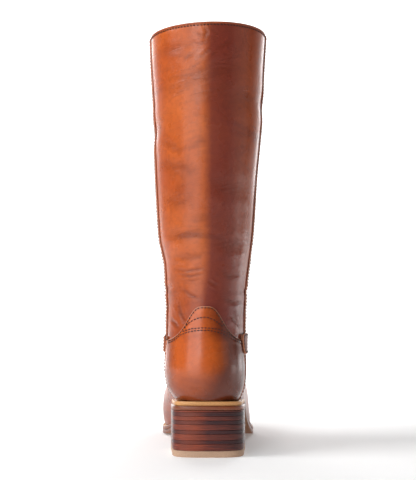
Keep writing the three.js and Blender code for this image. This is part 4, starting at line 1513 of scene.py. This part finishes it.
# %% Sewing
def sewn(name, lines, thread, **sizes):
    """A piece made of every stitch along some lines. A line is its points, in mm, and their outward
    directions."""
    points, outs, edges = [], [], []
    for line_points, line_outs in lines:
        first = sum(len(p) for p in points)
        edges += [(first + i, first + i + 1) for i in range(len(line_points) - 1)]
        points.append(line_points)
        outs.append(line_outs)
    path = bpy.data.meshes.new(name + "_path")
    path.from_pydata((np.concatenate(points) * MM).tolist(), edges, [])
    out = path.attributes.new("out", "FLOAT_VECTOR", "POINT")
    out.data.foreach_set("vector", np.concatenate(outs).ravel())
    seam = bpy.data.objects.new(name + "_path", path)
    bpy.context.collection.objects.link(seam)
    sewer = seam.modifiers.new("sewing", "NODES")
    sewer.node_group = sewing
    inputs = {item.name: item.identifier for item in sewing.interface.items_tree if item.in_out == "INPUT"}
    for label, value in {**SEWING_INPUTS, **sizes, "Thread": thread}.items():
        sewer[inputs[label]] = value
    evaluated = seam.evaluated_get(bpy.context.evaluated_depsgraph_get())
    mesh = bpy.data.meshes.new_from_object(evaluated)
    mesh.name = name
    seam.modifiers.clear()
    bpy.data.objects.remove(seam)
    mesh.shade_smooth()
    bpy.context.collection.objects.link(bpy.data.objects.new(name, mesh))
    print(name, len(mesh.polygons), "faces")


def over_leather(lines, rise, creases=CREASES, extra=None):
    """Lines on the last, lifted to the face of the leather that they are sewn through."""
    lifted = []
    for line in lines:
        base, outs = on_last(*line), outward(*line)
        up = rise - SEAM_DEEP + crease_shape(base, outs, creases)[0] + slackness(base)
        up = up + (extra(*line) if extra else 0)
        lifted.append((base + outs * up[:, None], outs))
    return lifted


THREAD_OUT = 0.08  # how far a stitch's middle stands above the leather
STRIP_RISE = GAP + STRIP_THICK + THREAD_OUT
TAB_RISE = TAB_UNDER + TAB_THICK + THREAD_OUT

sewn("collar_stitches", over_leather(collar_seam, THREAD_OUT), dark_thread)
counter_lines = over_leather(counter_seams, GAP + COUNTER_THICK + THREAD_OUT, [], counter_bulge)
sewn("counter_stitches", counter_lines, dark_thread)
vamp_lines = over_leather(vamp_seams, GAP + VAMP_THICK + THREAD_OUT, vamp_creases)
sewn("vamp_stitches", vamp_lines, dark_thread)
for name, side in (("inner", -1), ("outer", 1)):
    sewn(f"{name}_strip_stitches", over_leather(strip_seams(side), STRIP_RISE), dark_thread)
for name, side in (("inner", -1), ("outer", 1)):
    sewn(f"{name}_tab_stitches", over_leather([tab_seam(side)], TAB_RISE, []), dark_thread)

# %% Welt stitches
def welt_line():
    """The welt's groove, from one end of the heel's breast round the toe to the other."""
    groove = drawn_in(edge, GROOVE_IN)
    forward = groove[:, 1] > BREAST + 2
    start = int(np.argmax(forward))
    points = raised(groove, over_sole(WELT_TOP - GROOVE_DEEP + 0.25))[start : start + int(forward.sum())]
    outs = np.zeros(points.shape)
    outs[:, 2] = 1
    return points, outs


welt_sizes = {"Step": 0.0038, "Stitch Length": 0.0033, "Thread Width": 0.001}
sewn("welt_stitches", [welt_line()], pale_thread, **welt_sizes)

# %% [markdown]
# ## Handing over
#
# Every piece rides on the boot's one body, and the CAD node that it stands for is hidden.

# %% Riding on the frame
STANDS_FOR = {
    "shaft_back": ("upper", "upper_leather"),
    "shaft_front": ("upper", "upper_leather"),
    "lining": ("upper", "upper_leather"),
    "collar_binding": ("upper", "upper_leather"),
    "collar_stitches": ("upper", None),
    "moulded_counter": ("heel_counter", "counter_leather"),
    "vamp_panel": ("vamp", "vamp_leather"),
    "strip_inner": ("side_strip_medial", "strip_leather"),
    "strip_outer": ("side_strip_lateral", "strip_leather"),
    "tab_inner": ("side_tab_medial", "tab_leather"),
    "tab_outer": ("side_tab_lateral", "tab_leather"),
    "stitched_welt": ("welt", "welt_leather"),
    "leather_outsole": ("outsole", "sole_leather"),
    "insole_board": ("insole", "insole_leather"),
    "rubber_top_lift": ("top_lift", "top_lift_rubber"),
    "seat_leather": ("seat_lift", "lift_light"),
    "counter_stitches": ("heel_counter", None),
    "vamp_stitches": ("vamp", None),
    "inner_strip_stitches": ("side_strip_medial", None),
    "outer_strip_stitches": ("side_strip_lateral", None),
    "inner_tab_stitches": ("side_tab_medial", None),
    "outer_tab_stitches": ("side_tab_lateral", None),
    "welt_stitches": ("welt", None),
}
for i in range(len(LIFTS)):
    STANDS_FOR[f"lift_{i + 1}_leather"] = (f"heel_lift_{i + 1}", "lift_dark" if i % 2 else "lift_light")

for name, (node, slot) in STANDS_FOR.items():
    piece = bpy.data.objects[name]
    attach(piece, "root")
    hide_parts(node)

visual_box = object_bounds()
say_box("visual", visual_box)
